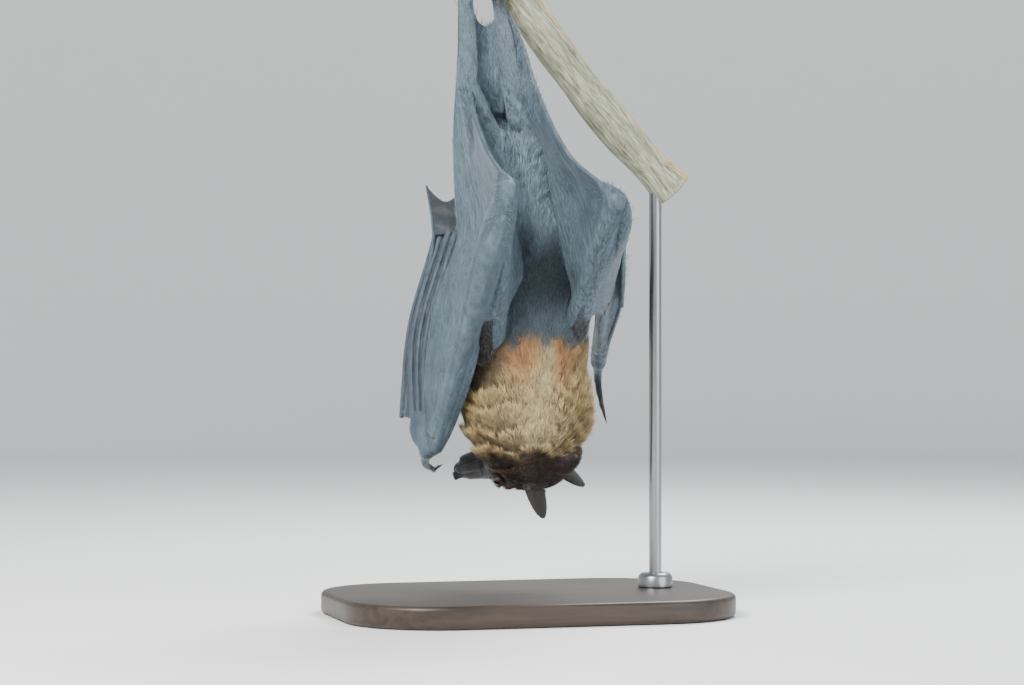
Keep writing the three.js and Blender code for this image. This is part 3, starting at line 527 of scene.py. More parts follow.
def flightSkin(name, hand):
    own, wing = legs[name], wings[name]
    lines = handLines(wing)
    upper, fore = armLines(wing)
    ridge = [own["ankle"] + vec(hand * 2.5, -2.5, -5), *wing["ridge"], wing["elbow"]]
    toShoulder = curve([*ridge, *map(upper, (0.35, 0.65, 0.9))])
    toWrist = curve([*ridge, *map(fore, (0.33, 0.66, 0.95))])
    fifth = lines["knuckles"][2]
    free = curve([own["ankle"] + vec(hand * 4, 1.5, -5), *wing["edge"], mix(wing["edge"][1], fifth, 0.6), fifth,
                  *map(lines["shafts"][2], (0.66, 0.33, 0.06))])

    def rib(radius, far):  # the fold from ankle to elbow, and then the arm
        def at(t):
            share = np.clip((t - elbowShare) / (1 - elbowShare), 0, 1) * far
            fold = mix(1.1, arm["elbow"] - 1, blend(elbowShare - 0.07, elbowShare, t))
            return np.where(t < elbowShare, fold, radius(share))
        return at

    upperRib, foreRib = rib(armRadius(wing), 0.9), rib(foreRadius, 0.95)
    inner = looseSkin(flankLine(own, hand), toShoulder, hand, folds=1.1, seed=3)
    outer = looseSkin(toWrist, free, hand, sag=6, folds=1.3, seed=5)
    overFore = flight["over"] + flight["loose"] * wing["loose"]
    return [
        laidOver(inner, flight["inner"], swell(inner, 1.0, upperRib, 1.25),
                 swell(inner, 1.0, upperRib, flight["under"]), end=upperRib),
        laidOver(outer, flight["outer"], swell(outer, 0.0, foreRib, overFore),
                 swell(outer, 0.0, foreRib, flight["under"]), start=foreRib),
        frontSkin(wing, hand),
    ]


def frontSkin(wing, hand):  # in front of the arm, from the upper arm across to the forearm
    upper, fore = armLines(wing)
    armSize = armRadius(wing)
    shares = (0.02, 0.13, 0.28, 0.44, 0.56, 0.67, 0.8, 0.93, 1)
    armShares = (0.04, 0.25, 0.5, 0.74)
    hollow = mix(upper(0.9), fore(0.62), 0.3)
    flap = [fore(share) + wing["flap"] * size
            for share, size in ((0.67, 1), (0.8, 0.95), (0.93, 0.7), (1, 0.35))]
    onto = curve([*map(upper, armShares), hollow, *flap])
    web = looseSkin(curve([*map(fore, shares)]), onto, hand, folds=0.5, seed=9)
    front = lambda t: foreRadius(np.interp(t, np.linspace(0, 1, 9), shares))
    inside = lambda t: armSize(np.interp(t, [0, 0.125, 0.25, 0.375], armShares)) * blend(0.5, 0.36, t)
    onFore = swell(web, 0.0, front, flight["over"] + flight["loose"] * wing["loose"])
    onArm = swell(web, 1.0, inside, 1.3)

    def both(s, t):
        a, b = onFore(s, t), onArm(s, t)
        return np.where(s < 0, a, np.where(s > 1, b, np.maximum(a, b)))

    under = swell(web, 0.0, front, flight["under"])
    return laidOver(web, flight["front"], both, under, start=front, end=inside)


tailSkin = {
    "right": [vec(-37, -21, 314), vec(-43.5, -28, 336), vec(-43, -20, 362), vec(-40.5, -9, 384)],
    "left": [vec(-21, -21, 314), vec(-20, -29, 334), vec(-20, -19, 358), vec(-20.5, -10, 378)],
    "sag": 6, "hollow": 0.2,
}


def tailSheet():
    right, left = curve(tailSkin["right"]), curve(tailSkin["left"])

    def surface(s, t):
        reach = t * (1 - tailSkin["hollow"] * np.sin(math.pi * s))
        a, b = right(reach), left(reach)
        sag = tailSkin["sag"] * np.sin(math.pi * s) + np.sin(s * 25) * 0.35 * np.sin(math.pi * s)
        return a + (b - a) * s[..., None] + vec(0, 1, 0) * sag[..., None]

    half = lambda s, t: finger["web"] + 2.2 * mound(s, 0.1) + 2.2 * mound(1 - s, 0.1)
    return sheet(surface, 40, 60, half, half)


# Head

face = {
    "opening": (56, 44), "lidRise": 0.75, "socket": 1.3,  # the eye's opening: half angles in degrees
    "mouth": -12.1, "mouthDepth": 1.1, "mouthWidth": 0.8, "nostrilDepth": 2.6, "gaze": vec(0.42, 1, 0.16),
    # forms of the face: places ahead, out and lifted, half widths, and half depths where they differ
    "throat": ([(-12, 0, -8), (4, 0, -8)], [15, 16]),
    "cheek": ([(10, 14.5, -5), (20, 12.5, -7), (30, 8.6, -8)], [5.2, 5, 3.6]),
    "brow": ([(15.5, 12.3, 8.2), (22, 11.8, 7.8), (29, 8.6, 4.6)], [2.6, 3.2, 2.2]),
    "lip": ([(38, 6.6, -8.6), (47, 5.6, -9.6), (56, 4.8, -10)], [3.6, 4.2, 3.4]),
    "jaw": ([(4, 0, -15.5), (28, 0, -15.2), (54, 0, -14.4)], [9, 5.6, 4.6], [4, 3, 2.4]),
    "nose": ([(58, 0, -7.2), (61.4, 0, -7.4)], [4.4, 3.6], [4.6, 3.6]),
}


def headForm():
    parts = []

    def add(places, wide, deep=None, hand=1, **more):
        parts.append(limb([inHead(a, hand * out, up) for a, out, up in places], wide, deep, **more))

    ahead, wide, high, lift = np.array(head["sections"], float).T
    add(list(zip(ahead, 0 * ahead, lift)), wide - head["coat"], high - head["coat"], side=headRight,
        around=72, along=90)
    add(*face["throat"], side=headRight)
    (ex, ey, ez), (nx, ny, nz) = head["eye"], head["nostril"]
    eye = ([(ex - 0.1, ey - 0.4, ez), (ex + 0.1, ey, ez)], [head["eyeRadius"] + 0.7] * 2)
    flare = head["nostrilRadius"]
    nostril = ([(nx - 6, ny * 0.6, nz), (nx + 1.2, ny, nz)], [flare * 1.1, flare])
    for hand in (-1, 1):
        for places, sizes in (face["cheek"], face["brow"], face["lip"], eye, nostril):
            add(places, sizes, hand=hand)
        parts.append(earForm(hand))
    add(*face["jaw"], side=headRight)
    add(*face["nose"], side=headRight)
    return parts


def earForm(hand):
    root, tip = (inHead(a, hand * out, up) for a, out, up in (head["earRoot"], head["earTip"]))
    along = unit(tip - root)
    facing = unit(inHead(1, hand * head["earToe"], 0) - head["middle"])
    broad = unit(np.cross(along, facing))
    back = unit(np.cross(broad, along))

    def surface(s, t):
        sweep = (s - 0.5) * math.pi * 0.98
        width = head["earWidth"] / 2 * np.maximum(0.07, (1 - t) ** 0.6 * (0.78 + 0.95 * t))
        spine = root + (tip - root) * (t * 1.05 - 0.08)[..., None]
        cup = head["earCup"] * (0.5 - np.cos(sweep)) * (1 - t * 0.85)
        return spine + broad * (np.sin(sweep) * width)[..., None] + back * cup[..., None]

    half = lambda s, t: (0.55 + 1.1 * (1 - t) ** 2) * (0.72 + 0.28 * np.sin(math.pi * s))
    return sheet(surface, 26, 40, half, half)


def headSkin():
    points, triangles, normals = remeshed("head", headForm(), head["voxel"], head["rounds"])
    local = toHead(points)
    ahead, out, lift = local.T
    # the mouth runs back from under the nose and turns up at its corner
    line = face["mouth"] - 0.9 * blend(60, 44, ahead) + 2.6 * blend(33, 26, ahead)
    onMouth = blend(25, 29, ahead) * blend(7, 4, lift) * blend(63, 60, ahead)
    crease = face["mouthDepth"] * mound(lift - line, face["mouthWidth"])
    push = onMouth * (0.35 * mound(lift - line - 1.7, 1.0) - crease)
    # the groove between the nostrils, and the nostrils' own pits, open to the side
    push -= 0.9 * blend(58, 61, ahead) * mound(out, 0.8)
    for hand in (-1, 1):
        pit = vec(head["nostril"][0] + 2.6, hand * (head["nostril"][1] + 1.3), head["nostril"][2] - 0.2)
        away = np.linalg.norm(local - pit, axis=1)
        push += 0.4 * mound(away - 2.6, 0.8) - face["nostrilDepth"] * mound(away, 1.35)
    # small folds over the muzzle and brow
    muzzle = blend(30, 38, ahead) * blend(61, 56, ahead)
    push += 0.06 * muzzle * np.sin(ahead * 2.1 + 0.5 * np.sin(lift)) * blend(-2, -6, lift + 4)
    push += 0.14 * blend(12, 22, ahead) * waves(local * vec(1, 0.6, 0.6), 4.5, 21)
    local = toHead(points + normals * push[:, None])
    # lids: skin wraps the eyeball, opens over it and thickens at its rim
    e = head["eyeRadius"]
    for hand in (-1, 1):
        way = local - head["eye"] * vec(1, hand, 1)
        away = np.linalg.norm(way, axis=1)
        gaze = unit(face["gaze"] * (1, hand, 1))
        heading = way / np.maximum(away, 1e-6)[:, None]
        angle = np.degrees(np.arccos(np.clip(heading @ gaze, -1, 1)))
        length = vec(0.9, -hand * 0.36, -0.1)  # the way the opening is long
        length = unit(length - gaze * (length @ gaze))
        share = np.abs(heading @ length) / np.maximum(np.sin(np.radians(angle)), 1e-3)
        edge = mix(face["opening"][1], face["opening"][0], np.clip(share, 0, 1) ** 2)
        rise = face["lidRise"] * mound(angle - edge - 7, 7.5) + 0.25 * mound(angle - edge - 26, 6)
        target = mix(e - face["socket"], e + 0.35 + rise, blend(edge - 3.5, edge + 2.5, angle))
        near = blend(e + 3.2, e + 1.4, away) * blend(98, 82, angle)
        local = local + heading * ((target - away) * near)[:, None]
    points = head["middle"] + local @ headAxes
    return points, triangles, cornerNormals(points, triangles)


# Feet and claws

foot = {"toes": 5, "pitch": 3.9, "toe": 1.75, "sole": 5.0, "start": -6, "knuckles": 72, "tip": 158,
        "voxel": 0.68, "rounds": 3}
toeShifts = [(toe - (foot["toes"] - 1) / 2) * foot["pitch"] for toe in range(foot["toes"])]


def footSkin(name):
    own = legs[name]
    ride = perch["radius"] + foot["toe"] + 0.85
    ball = onBranch(own["grip"], foot["start"], ride + 1.5)
    ankle = leg["ankle"]
    sole = mix(own["ankle"], ball, 0.55) + vec(0, -1.5, 0)
    parts = [limb([own["ankle"], sole, ball], [ankle - 0.5, foot["sole"], toeShifts[-1] + foot["toe"]],
                  [ankle - 0.5, 3.2, 2.5], side=branchWay),
             limb([mix(own["knee"], own["ankle"], 0.9), own["ankle"] + unit(ball - own["ankle"]) * 2],
                  [ankle - 0.8, ankle - 0.6])]
    pads = lambda t, turn: 1 + 0.16 * mound(t - 0.45, 0.05) + 0.14 * mound(t - 0.72, 0.045)
    for shift in toeShifts:
        places = [mix(own["ankle"], ball, 0.75) + branchWay * shift * 0.75]
        places += [onBranch(own["grip"] + shift, angle, ride)
                   for angle in np.linspace(foot["start"], foot["knuckles"] + 2, 5)]
        parts.append(limb(places, [foot["toe"] * 0.9] + [foot["toe"]] * 5, side=branchWay, around=20, along=50,
                          shape=pads))
    return remeshed("foot " + name, parts, foot["voxel"], foot["rounds"])


def toeClaws(name):
    parts = []
    keel = lambda t, turn: 1 - 0.12 * np.abs(np.cos(turn)) ** 6
    rises = [perch["radius"] + 2.3 + 0.9 * math.sin(share * math.pi) for share in np.linspace(0, 1, 6)]
    bend = np.linspace(foot["knuckles"] - 4, foot["tip"], 6)
    for shift in toeShifts:
        places = [onBranch(legs[name]["grip"] + shift, angle, rise) for angle, rise in zip(bend, rises)]
        parts.append(limb(places, [1.25, 1.3, 1.15, 0.9, 0.6, 0.18], [1.8, 1.9, 1.65, 1.25, 0.8, 0.22],
                          side=branchWay, around=20, along=36, ends=(0.3, 1), shape=keel))
    return parts


def fingerClaw(before, start, curl, length, thick):
    out = unit(start - before)
    places = [start - out * thick * 0.6, start + out * length * 0.2]
    places += [start + out * length * (share - 0.28) + curl * length * share * share * 0.55
               for share in (0.55, 0.78, 1)]
    return limb(places, [thick * 0.62, thick * 0.72, thick * 0.55, thick * 0.35, 0.12],
                [thick * 0.8, thick * 0.9, thick * 0.7, thick * 0.45, 0.12], around=18, along=40)


# Materials

def srgb(r, g, b):
    return tuple(((c / 255 + 0.055) / 1.055) ** 2.4 if c > 10 else c / 255 / 12.92 for c in (r, g, b))


def newLook(name):
    material = bpy.data.materials.new(name)
    material.use_nodes = True
    return material, material.node_tree


def feed(tree, socket, source):  # a constant is set on the socket itself
    if isinstance(source, bpy.types.NodeSocket):
        tree.links.new(source, socket)
    elif isinstance(source, tuple) and socket.type == "RGBA":
        socket.default_value = (*source, 1)
    else:
        socket.default_value = source


def node(tree, kind, links, out=0, **values):
    made = tree.nodes.new("ShaderNode" + kind)
    for key, value in values.items():
        setattr(made, key, value)
    for key, source in links.items():
        feed(tree, made.inputs[key], source)
    return made.outputs[out]


def placeIn(tree, scale=(1, 1, 1), turn=(0, 0, 0)):  # object coordinates in millimetres, turned and stretched
    place = node(tree, "TexCoord", {}, "Object")
    turned = node(tree, "Mapping", {"Vector": place, "Rotation": tuple(math.radians(a) for a in turn)})
    return node(tree, "Mapping", {"Vector": turned, "Scale": tuple(s / mm for s in scale)})


def noiseIn(tree, place, scale, detail=4, rough=0.55, warp=0):
    return node(tree, "TexNoise", {"Vector": place, "Scale": scale, "Detail": detail, "Roughness": rough,
                                   "Distortion": warp})


def rampIn(tree, value, *stops):
    made = tree.nodes.new("ShaderNodeValToRGB")
    tree.links.new(value, made.inputs[0])
    elements = made.color_ramp.elements
    while len(elements) < len(stops):
        elements.new(0.5)
    for element, (at, colour) in zip(elements, stops):
        element.position = at
        element.color = (*colour, 1) if isinstance(colour, tuple) else (colour, colour, colour, 1)
    return made.outputs["Color"]


def mixIn(tree, share, a, b, way="MIX"):
    return node(tree, "Mix", {0: share, 6: a, 7: b}, 2, data_type="RGBA", blend_type=way)


def timesIn(tree, a, b):
    return mixIn(tree, 1.0, a, b, "MULTIPLY")


def bumpIn(tree, height, depth, strength, under=None):
    links = {"Height": height, "Distance": depth * mm, "Strength": strength}
    return node(tree, "Bump", links if under is None else {**links, "Normal": under})


def attributeIn(tree, name="coatColour", out="Color"):
    return node(tree, "Attribute", {}, out, attribute_name=name)


def setLook(tree, **values):
    names = {"colour": "Base Color", "normal": "Normal", "roughness": "Roughness", "sheen": "Sheen Weight",
             "sheenRough": "Sheen Roughness", "sheenTint": "Sheen Tint", "gloss": "Specular IOR Level",
             "metal": "Metallic", "coat": "Coat Weight", "coatRough": "Coat Roughness"}
    for key, value in values.items():
        feed(tree, tree.nodes["Principled BSDF"].inputs[names[key]], value)


def hideLook():  # bare and thinly furred skin; the colours, painted sheen and shade among them, come from the shared colour attribute
    material, tree = newLook("batHide")
    sharedColours, furred = attributeIn(tree), attributeIn(tree, "fuzz", "Fac")
    mottling = noiseIn(tree, placeIn(tree), 0.06, 5, 0.62, 0.5)
    veins = noiseIn(tree, placeIn(tree, (1, 1, 0.4), (25, 0, 12)), 0.11, 7, 0.66, 1.6)
    pale = mixIn(tree, rampIn(tree, mottling, (0.3, 0.0), (0.72, 1.0)), (0.7, 0.72, 0.74), (1.22, 1.2, 1.18))
    # long lengthwise streaks: painted highlight streaks in the bare skin's colour, up to 1.3 times lighter,
    # darker between, and smoother where light
    long = noiseIn(tree, placeIn(tree, (1, 1, 0.05), (8, 7, 0)), 0.24, 5, 0.62, 0.4)
    bare = timesIn(tree, timesIn(tree, sharedColours, pale),
                   rampIn(tree, long, (0.36, 0.8), (0.5, 1.0), (0.64, 1.3)))
    dark = rampIn(tree, veins, (0.455, 1.0), (0.49, 0.6), (0.525, 1.0))
    bare = mixIn(tree, 0.5, bare, timesIn(tree, bare, dark))
    streaks = noiseIn(tree, placeIn(tree, (1, 1, 0.075), (4, 3, 0)), 0.62, 5, 0.62, 0.35)
    hair = timesIn(tree, sharedColours, rampIn(tree, streaks, (0.34, 0.42), (0.5, 0.95), (0.68, 1.75)))
    smooth = rampIn(tree, long, (0.36, 0.52), (0.64, 0.34))
    # wrinkles across and along the bare skin, and the lie of the short hair
    crossed = noiseIn(tree, placeIn(tree, (1, 1, 0.22), (0, 30, 0)), 0.5, 6, 0.62, 0.9)
    creased = noiseIn(tree, placeIn(tree, (0.3, 0.3, 1), (0, -25, 20)), 0.6, 6, 0.6, 1.2)
    relief = bumpIn(tree, mixIn(tree, furred, mixIn(tree, 0.5, crossed, creased), streaks), 1.5, 0.75)
    setLook(tree, colour=mixIn(tree, furred, bare, hair),
            roughness=mixIn(tree, furred, smooth, (0.62, 0.62, 0.62)),
            normal=bumpIn(tree, noiseIn(tree, placeIn(tree), 2.6, 4), 0.16, 0.6, relief),
            sheen=0.16, sheenRough=0.4, gloss=0.4, sheenTint=(0.75, 0.9, 1.0))
    return material


def furLook(name, rough, sheen, tint):
    material, tree = newLook(name)
    shade = rampIn(tree, noiseIn(tree, placeIn(tree, (1, 1, 0.25)), 0.9, 3), (0.3, 0.72), (0.72, 1.22))
    setLook(tree, colour=timesIn(tree, attributeIn(tree), shade), roughness=rough, sheen=sheen, sheenRough=0.45,
            gloss=0.35, sheenTint=tint)
    return material


def hornLook():
    material, tree = newLook("horn")
    grown = noiseIn(tree, placeIn(tree), 0.8, 4, 0.6, 0.5)
    setLook(tree, colour=rampIn(tree, grown, (0.3, srgb(26, 22, 20)), (0.75, srgb(62, 52, 44))),
            normal=bumpIn(tree, noiseIn(tree, placeIn(tree, (1, 3, 1)), 1.4, 3), 0.15, 0.5),
            roughness=0.32, gloss=0.5, coat=0.2, coatRough=0.2)
    return material


def eyeLook():
    material, tree = newLook("eye")
    fibres = rampIn(tree, noiseIn(tree, placeIn(tree), 1.6, 4), (0.3, 0.8), (0.7, 1.2))
    setLook(tree, colour=timesIn(tree, attributeIn(tree), fibres), roughness=0.14, gloss=0.4, coat=0.45,
            coatRough=0.05)
    return material


# Markings, with painted sheen and shade: one set of colours for skin and coat, worked out from place

colours = {  # where a name has a tip, that is the colour at the ends of the hair
    # the lighter backTip, and rump with rumpTip, are painted sheen on the black back fur
    "back": srgb(17, 21, 25), "backTip": srgb(38, 48, 56),
    "rump": srgb(66, 82, 94), "rumpTip": srgb(144, 166, 180),
    "mantle": srgb(100, 82, 50), "mantleTip": srgb(190, 166, 114),
    "orange": srgb(112, 66, 36), "orangeTip": srgb(182, 118, 66),
    "low": srgb(74, 58, 38), "lowTip": srgb(158, 136, 94),
    # dusk is a dark brown used as painted shade: under the wing on the mantle's right side, and near the
    # shoulder on the upper arm
    "dusk": srgb(22, 17, 16), "duskTip": srgb(56, 43, 37),
    "face": srgb(24, 13, 11), "faceTip": srgb(60, 36, 29),
    "belly": srgb(28, 23, 20), "bellyTip": srgb(74, 62, 50),
    "legs": srgb(53, 66, 75), "legsTip": srgb(112, 131, 143),
    "midline": srgb(200, 184, 142), "armFuzz": srgb(76, 92, 103),
    # webFoldShade is painted shade for the folded skin between the finger bones
    "web": srgb(62, 76, 87), "webFoldShade": srgb(32, 39, 45), "bare": srgb(30, 34, 38),
    "foot": srgb(40, 44, 48), "nose": srgb(20, 17, 17),
}


def hue(name, tip=False):
    return np.array(colours[name + "Tip" * tip])


def paint(base, other, share):
    return base + (other - base) * np.clip(share, 0, 1)[:, None]


def mottled(colour, points, share, size, seed, octaves=2):
    return colour * (1 + share * waves(points, size, seed, octaves))[:, None]


def raggedEdge(points):  # how far the markings' edges wander, in millimetres
    return waves(points * vec(1, 1, 0.5), 16, 33, 3) * 4.5


def aboutSpine(points):  # angle from the middle of the back, towards the left, and the height
    x, y = spineAt(points[:, 2])[:2]
    return np.arctan2(points[:, 0] - x, y - points[:, 1]), points[:, 2]


def trunkColour(points, tip):
    # black back, lightened by painted sheen: silvery at the rump and on hair ends above the mantle; golden
    # mantle, orange beside a pale midline; painted shade on its right side under the wing
    angle, height = aboutSpine(points)
    ragged = raggedEdge(points)
    level = height + ragged
    onBack = blend(2.1, 1.5, np.abs(angle))
    colour = paint(hue("belly", tip), hue("back", tip), onBack)
    # painted sheen: the back fur turns silvery towards the rump
    colour = paint(colour, hue("rump", tip), 0.92 * blend(214, 246, height + ragged * 1.6) * onBack)
    # painted sheen: hair ends just above the mantle are silvered a little
    if tip:
        colour = paint(colour, hue("rump", tip), 0.28 * blend(200, 184, level) * onBack)
    gold = paint(hue("mantle", tip), hue("low", tip), blend(138, 112, level))
    beside = mound(np.abs(angle + 0.06) - 0.36, 0.26)
    gold = paint(gold, hue("orange", tip), 0.8 * beside * blend(132, 160, level))
    gold = paint(gold, hue("orange", tip), 0.3 * blend(140, 160, level))
    pale = mound(angle - mix(-0.08, 0.02, blend(110, 150, height)), mix(0.42, 0.13, blend(112, 150, height)))
    gold = paint(gold, hue("midline") * (1 if tip else 0.6), 0.8 * pale * blend(99, 104, level))
    # painted shade: the mantle's right side darkens to dusk brown where the wing shades it
    wingShadow = 0.75 * blend(-0.5, -0.95, angle) * blend(-2.4, -1.9, angle) * blend(132, 146, level)
    gold = paint(gold, hue("dusk", tip), wingShadow)
    inMantle = blend(mix(186, 169, onBack), mix(150, 161, onBack), height + ragged * mix(2.2, 1, onBack))
    colour = paint(colour, gold, inMantle)
    colour = paint(colour, hue("face", tip), blend(103, 96, level))
    return mottled(colour, points * vec(1, 1, 0.35), 0.22, 7, 31)


def headColour(points, tip=False):
    ahead = toHead(points)[:, 0]
    nape = blend(97, 105, points[:, 2] + raggedEdge(points)) * blend(12, 4, ahead)
    colour = paint(hue("face", tip), hue("low", tip), 0.9 * nape)
    return mottled(paint(colour, hue("nose"), blend(57, 61, ahead)), points, 0.2, 6, 35)


# Where on the bat a point lies

def nearLine(points, places, radii):
    # how far each point is from a limb's middle in radii, the share along it, its direction, the angle about it
    count = 60
    stations = np.linspace(0, 1, count)
    middles = curve(places)(stations)
    sizes = np.interp(stations, np.linspace(0, 1, len(radii)), radii)
    away = np.full(len(points), 1e9)
    index = np.zeros(len(points), int)
    for k in range(count):
        d = np.linalg.norm(points - middles[k], axis=1) / sizes[k]
        closer = d < away
        away[closer] = d[closer]
        index[closer] = k
    ahead = unit(np.gradient(middles, axis=0))
    across = unit(np.cross(ahead, vec(0, 1, 0.2)))
    over = np.cross(across, ahead)
    rel = points - middles[index]
    turn = np.arctan2(np.sum(rel * over[index], 1), np.sum(rel * across[index], 1))
    return away, stations[index], ahead[index], turn


regionOf = {"trunk": (spineRows[::-1, :3], spineRows[::-1, 3:].mean(axis=1))}
for name, hand in hands:
    own, wing = legs[name], wings[name]
    regionOf["leg" + name] = ([own["hip"], own["knee"], own["ankle"]],
                              [leg["hip"], leg["knee"], leg["ankle"] + 1.5])
    regionOf["upper" + name] = [wing["shoulder"], wing["elbow"]], [wing["arm"][0], arm["elbow"]]
    regionOf["fore" + name] = [wing["elbow"], wing["cuff"]], [arm["elbow"] + 0.5, arm["wrist"]]
    regionOf["palm" + name] = [wing["wrist"], *wing["thumb"]], [arm["wrist"] + 2, 4, 3]
regions = list(regionOf)


def whereabouts(points):  # where each point lies along each region, how far off, and which is the nearest
    found = {key: nearLine(points, *value) for key, value in regionOf.items()}
    away = np.stack([found[key][0] for key in regions])
    return found, away, np.argmin(away, axis=0)


def nearest(away, kind):
    return away[[k for k, key in enumerate(regions) if key.startswith(kind)]].min(axis=0)


def byKind(best, **values):  # a value for each point, by the kind of its nearest region
    worth = [sum(v for kind, v in values.items() if key.startswith(kind)) for key in regions]
    return np.array(worth, float)[best]


def towardsFoot(points):  # 0 on the leg, 1 on the foot
    away, past = [], []
    for own in (legs[name] for name, hand in hands):
        away.append(np.linalg.norm(points - own["ankle"], axis=1))
        past.append((points - own["ankle"]) @ unit(own["ankle"] - own["knee"]))
    past = np.where(away[1] < away[0], past[1], past[0])
    return blend(-24, -3, past + 3 * waves(points, 9, 51, 2)) * blend(60, 45, np.minimum(*away))


def fleshColour(points, tip=False):
    found, away = whereabouts(points)[:2]
    shares = {key: found[key][1] for key in regions}
    tones = [trunkColour(points, tip)]
    for name, hand in hands:
        tones += [paint(hue("legs", tip), hue("foot"), towardsFoot(points)),
                  # the upper arm darkens to dusk near the shoulder: partly its own dark fur, partly painted
                  # shade in the armpit
                  paint(hue("armFuzz"), hue("dusk", tip), blend(0.42, 0.12, shares["upper" + name])),
                  paint(hue("armFuzz"), hue("web"), 0.2 + 0.6 * blend(0.3, 1.0, shares["fore" + name])),
                  paint(hue("web"), hue("bare"), blend(0.15, 0.55, shares["palm" + name]))]
    weight = mound(away - away.min(axis=0), 0.22)
    weight[0] *= blend(1.35, 1.15, away[0])
    weight /= weight.sum(axis=0)
    return mottled(np.einsum("kn,knc->nc", weight, np.array(tones)), points, 0.1, 12, 41)


def webColour(points):
    nearBody = np.minimum(nearLine(points, *regionOf["trunk"])[0], 3)
    colour = paint(hue("web"), hue("armFuzz"), 0.5 * blend(2.2, 1.1, nearBody))
    return mottled(paint(colour, hue("foot"), 0.9 * towardsFoot(points)), points, 0.14, 22, 43, 3)


def handColour(pale):
    # the less pale parts, the pleats and most of all the tip web, are darkened towards webFoldShade as painted
    # shade in the folds
    return lambda points: mottled(mix(hue("webFoldShade"), hue("web"), pale), points, 0.18, 9, 45, 3)


def footColour(points):
    return mottled(paint(hue("legs"), hue("foot"), towardsFoot(points)), points, 0.15, 6, 47, 3)


def webHairColour(points, tip):
    return mottled(paint(hue("legs", tip), hue("foot"), towardsFoot(points)), points, 0.2, 8, 49)


def furCover(points):  # how furred the skin is: body, legs, upper arms, and the flight skin close by
    away, best = whereabouts(points)[1:]
    close = np.minimum(np.minimum(away[0] * 1.05, nearest(away, "leg") * 0.75), nearest(away, "upper"))
    bare = byKind(best, fore=0.65, palm=1) * blend(1.6, 1.1, away.min(axis=0))
    onHead = blend(30, 24, np.linalg.norm(points - inHead(18, 0, -3), axis=1))
    return blend(2.4, 1.1, close) * (1 - bare) * (1 - towardsFoot(points)) * (1 - onHead)


# The skin: everything bare or furred is one piece

flesh = bodySkin()
skull = headSkin()
feet = {name: footSkin(name) for name, hand in hands}
webs = {name: flightSkin(name, hand) for name, hand in hands}
tail = tailSheet()

skinParts = [(flesh[0], [flesh[1]], fleshColour), (skull[0], [skull[1]], headColour)]
for name, hand in hands:
    skinParts.append((feet[name][0], [feet[name][1]], footColour))
    skinParts += [(*part, webColour) for part in webs[name]]
    skinParts += [(*part, handColour(pale)) for part, pale in handSkin(wings[name])]
skinParts.append((*tail, webColour))
points, faces = joined([part[:2] for part in skinParts])
skin = makePiece("bat_skin", points, faces, hideLook(), np.vstack([colour(p) for p, f, colour in skinParts]),
                 fuzz=furCover(points))
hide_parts("trunk", "neck", "head", "tail_skin", *[
    part + "_" + name for name, hand in hands
    for part in ("ear", "thigh", "shank", "foot", "upper_arm", "forearm", "thumb", "hand", "index_finger",
                 "wing_skin", "front_wing_skin")])
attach(skin, "root")
print("skin", len(points))


# The coat

coat = {
    "mantle": {"pieces": 3, "tufts": 17000, "length": (8, 12), "width": 0.36, "lift": 17, "swirl": 0.45},
    "back": {"pieces": 2, "tufts": 18800, "length": (7, 12), "width": 0.42, "lift": 9, "swirl": 0.26},
    "legs": {"tufts": 18000, "length": (6, 11), "width": 0.34, "lift": 5, "swirl": 0.18},
    "arms": {"tufts": 9500, "length": (1.6, 7), "width": 0.28, "lift": 6, "swirl": 0.2},
    "webs": {"tufts": 16000, "length": (3, 8), "width": 0.28, "lift": 4, "swirl": 0.16},
    "face": {"tufts": 15500, "length": (1.7, 7), "width": 0.25, "lift": 10, "swirl": 0.26},
}
tuft = {"sway": 0.13, "bend": 0.62, "root": 0.25, "waist": 0.52, "widths": (0.8, 0.9), "patch": 0.0014}
# dark and light scale the mantle's colour through each tier: painted shade in the gap at its foot, painted
# highlight along its raised edge
tier = {"deep": 11.2, "from": 114.6, "slant": 30, "dark": 0.36, "light": 1.36}


def scatter(form, own, weigh):  # root places and normals, spread by area and by weight
    points, triangles, normals = form
    count = own["tufts"] // 1
    a, b, c = cornersOf(points, triangles)
    size = np.linalg.norm(np.cross(b - a, c - a), axis=1) * np.clip(weigh((a + b + c) / 3), 0, None)
    picked = dice.choice(len(triangles), count, p=size / size.sum())
    u, v = dice.random((2, count))
    over = u + v > 1
    u[over], v[over] = 1 - u[over], 1 - v[over]
    shares = np.stack([1 - u - v, u, v], -1)[..., None]
    corners = triangles[picked]
    return np.sum(points[corners] * shares, 1), unit(np.sum(normals[corners] * shares, 1))


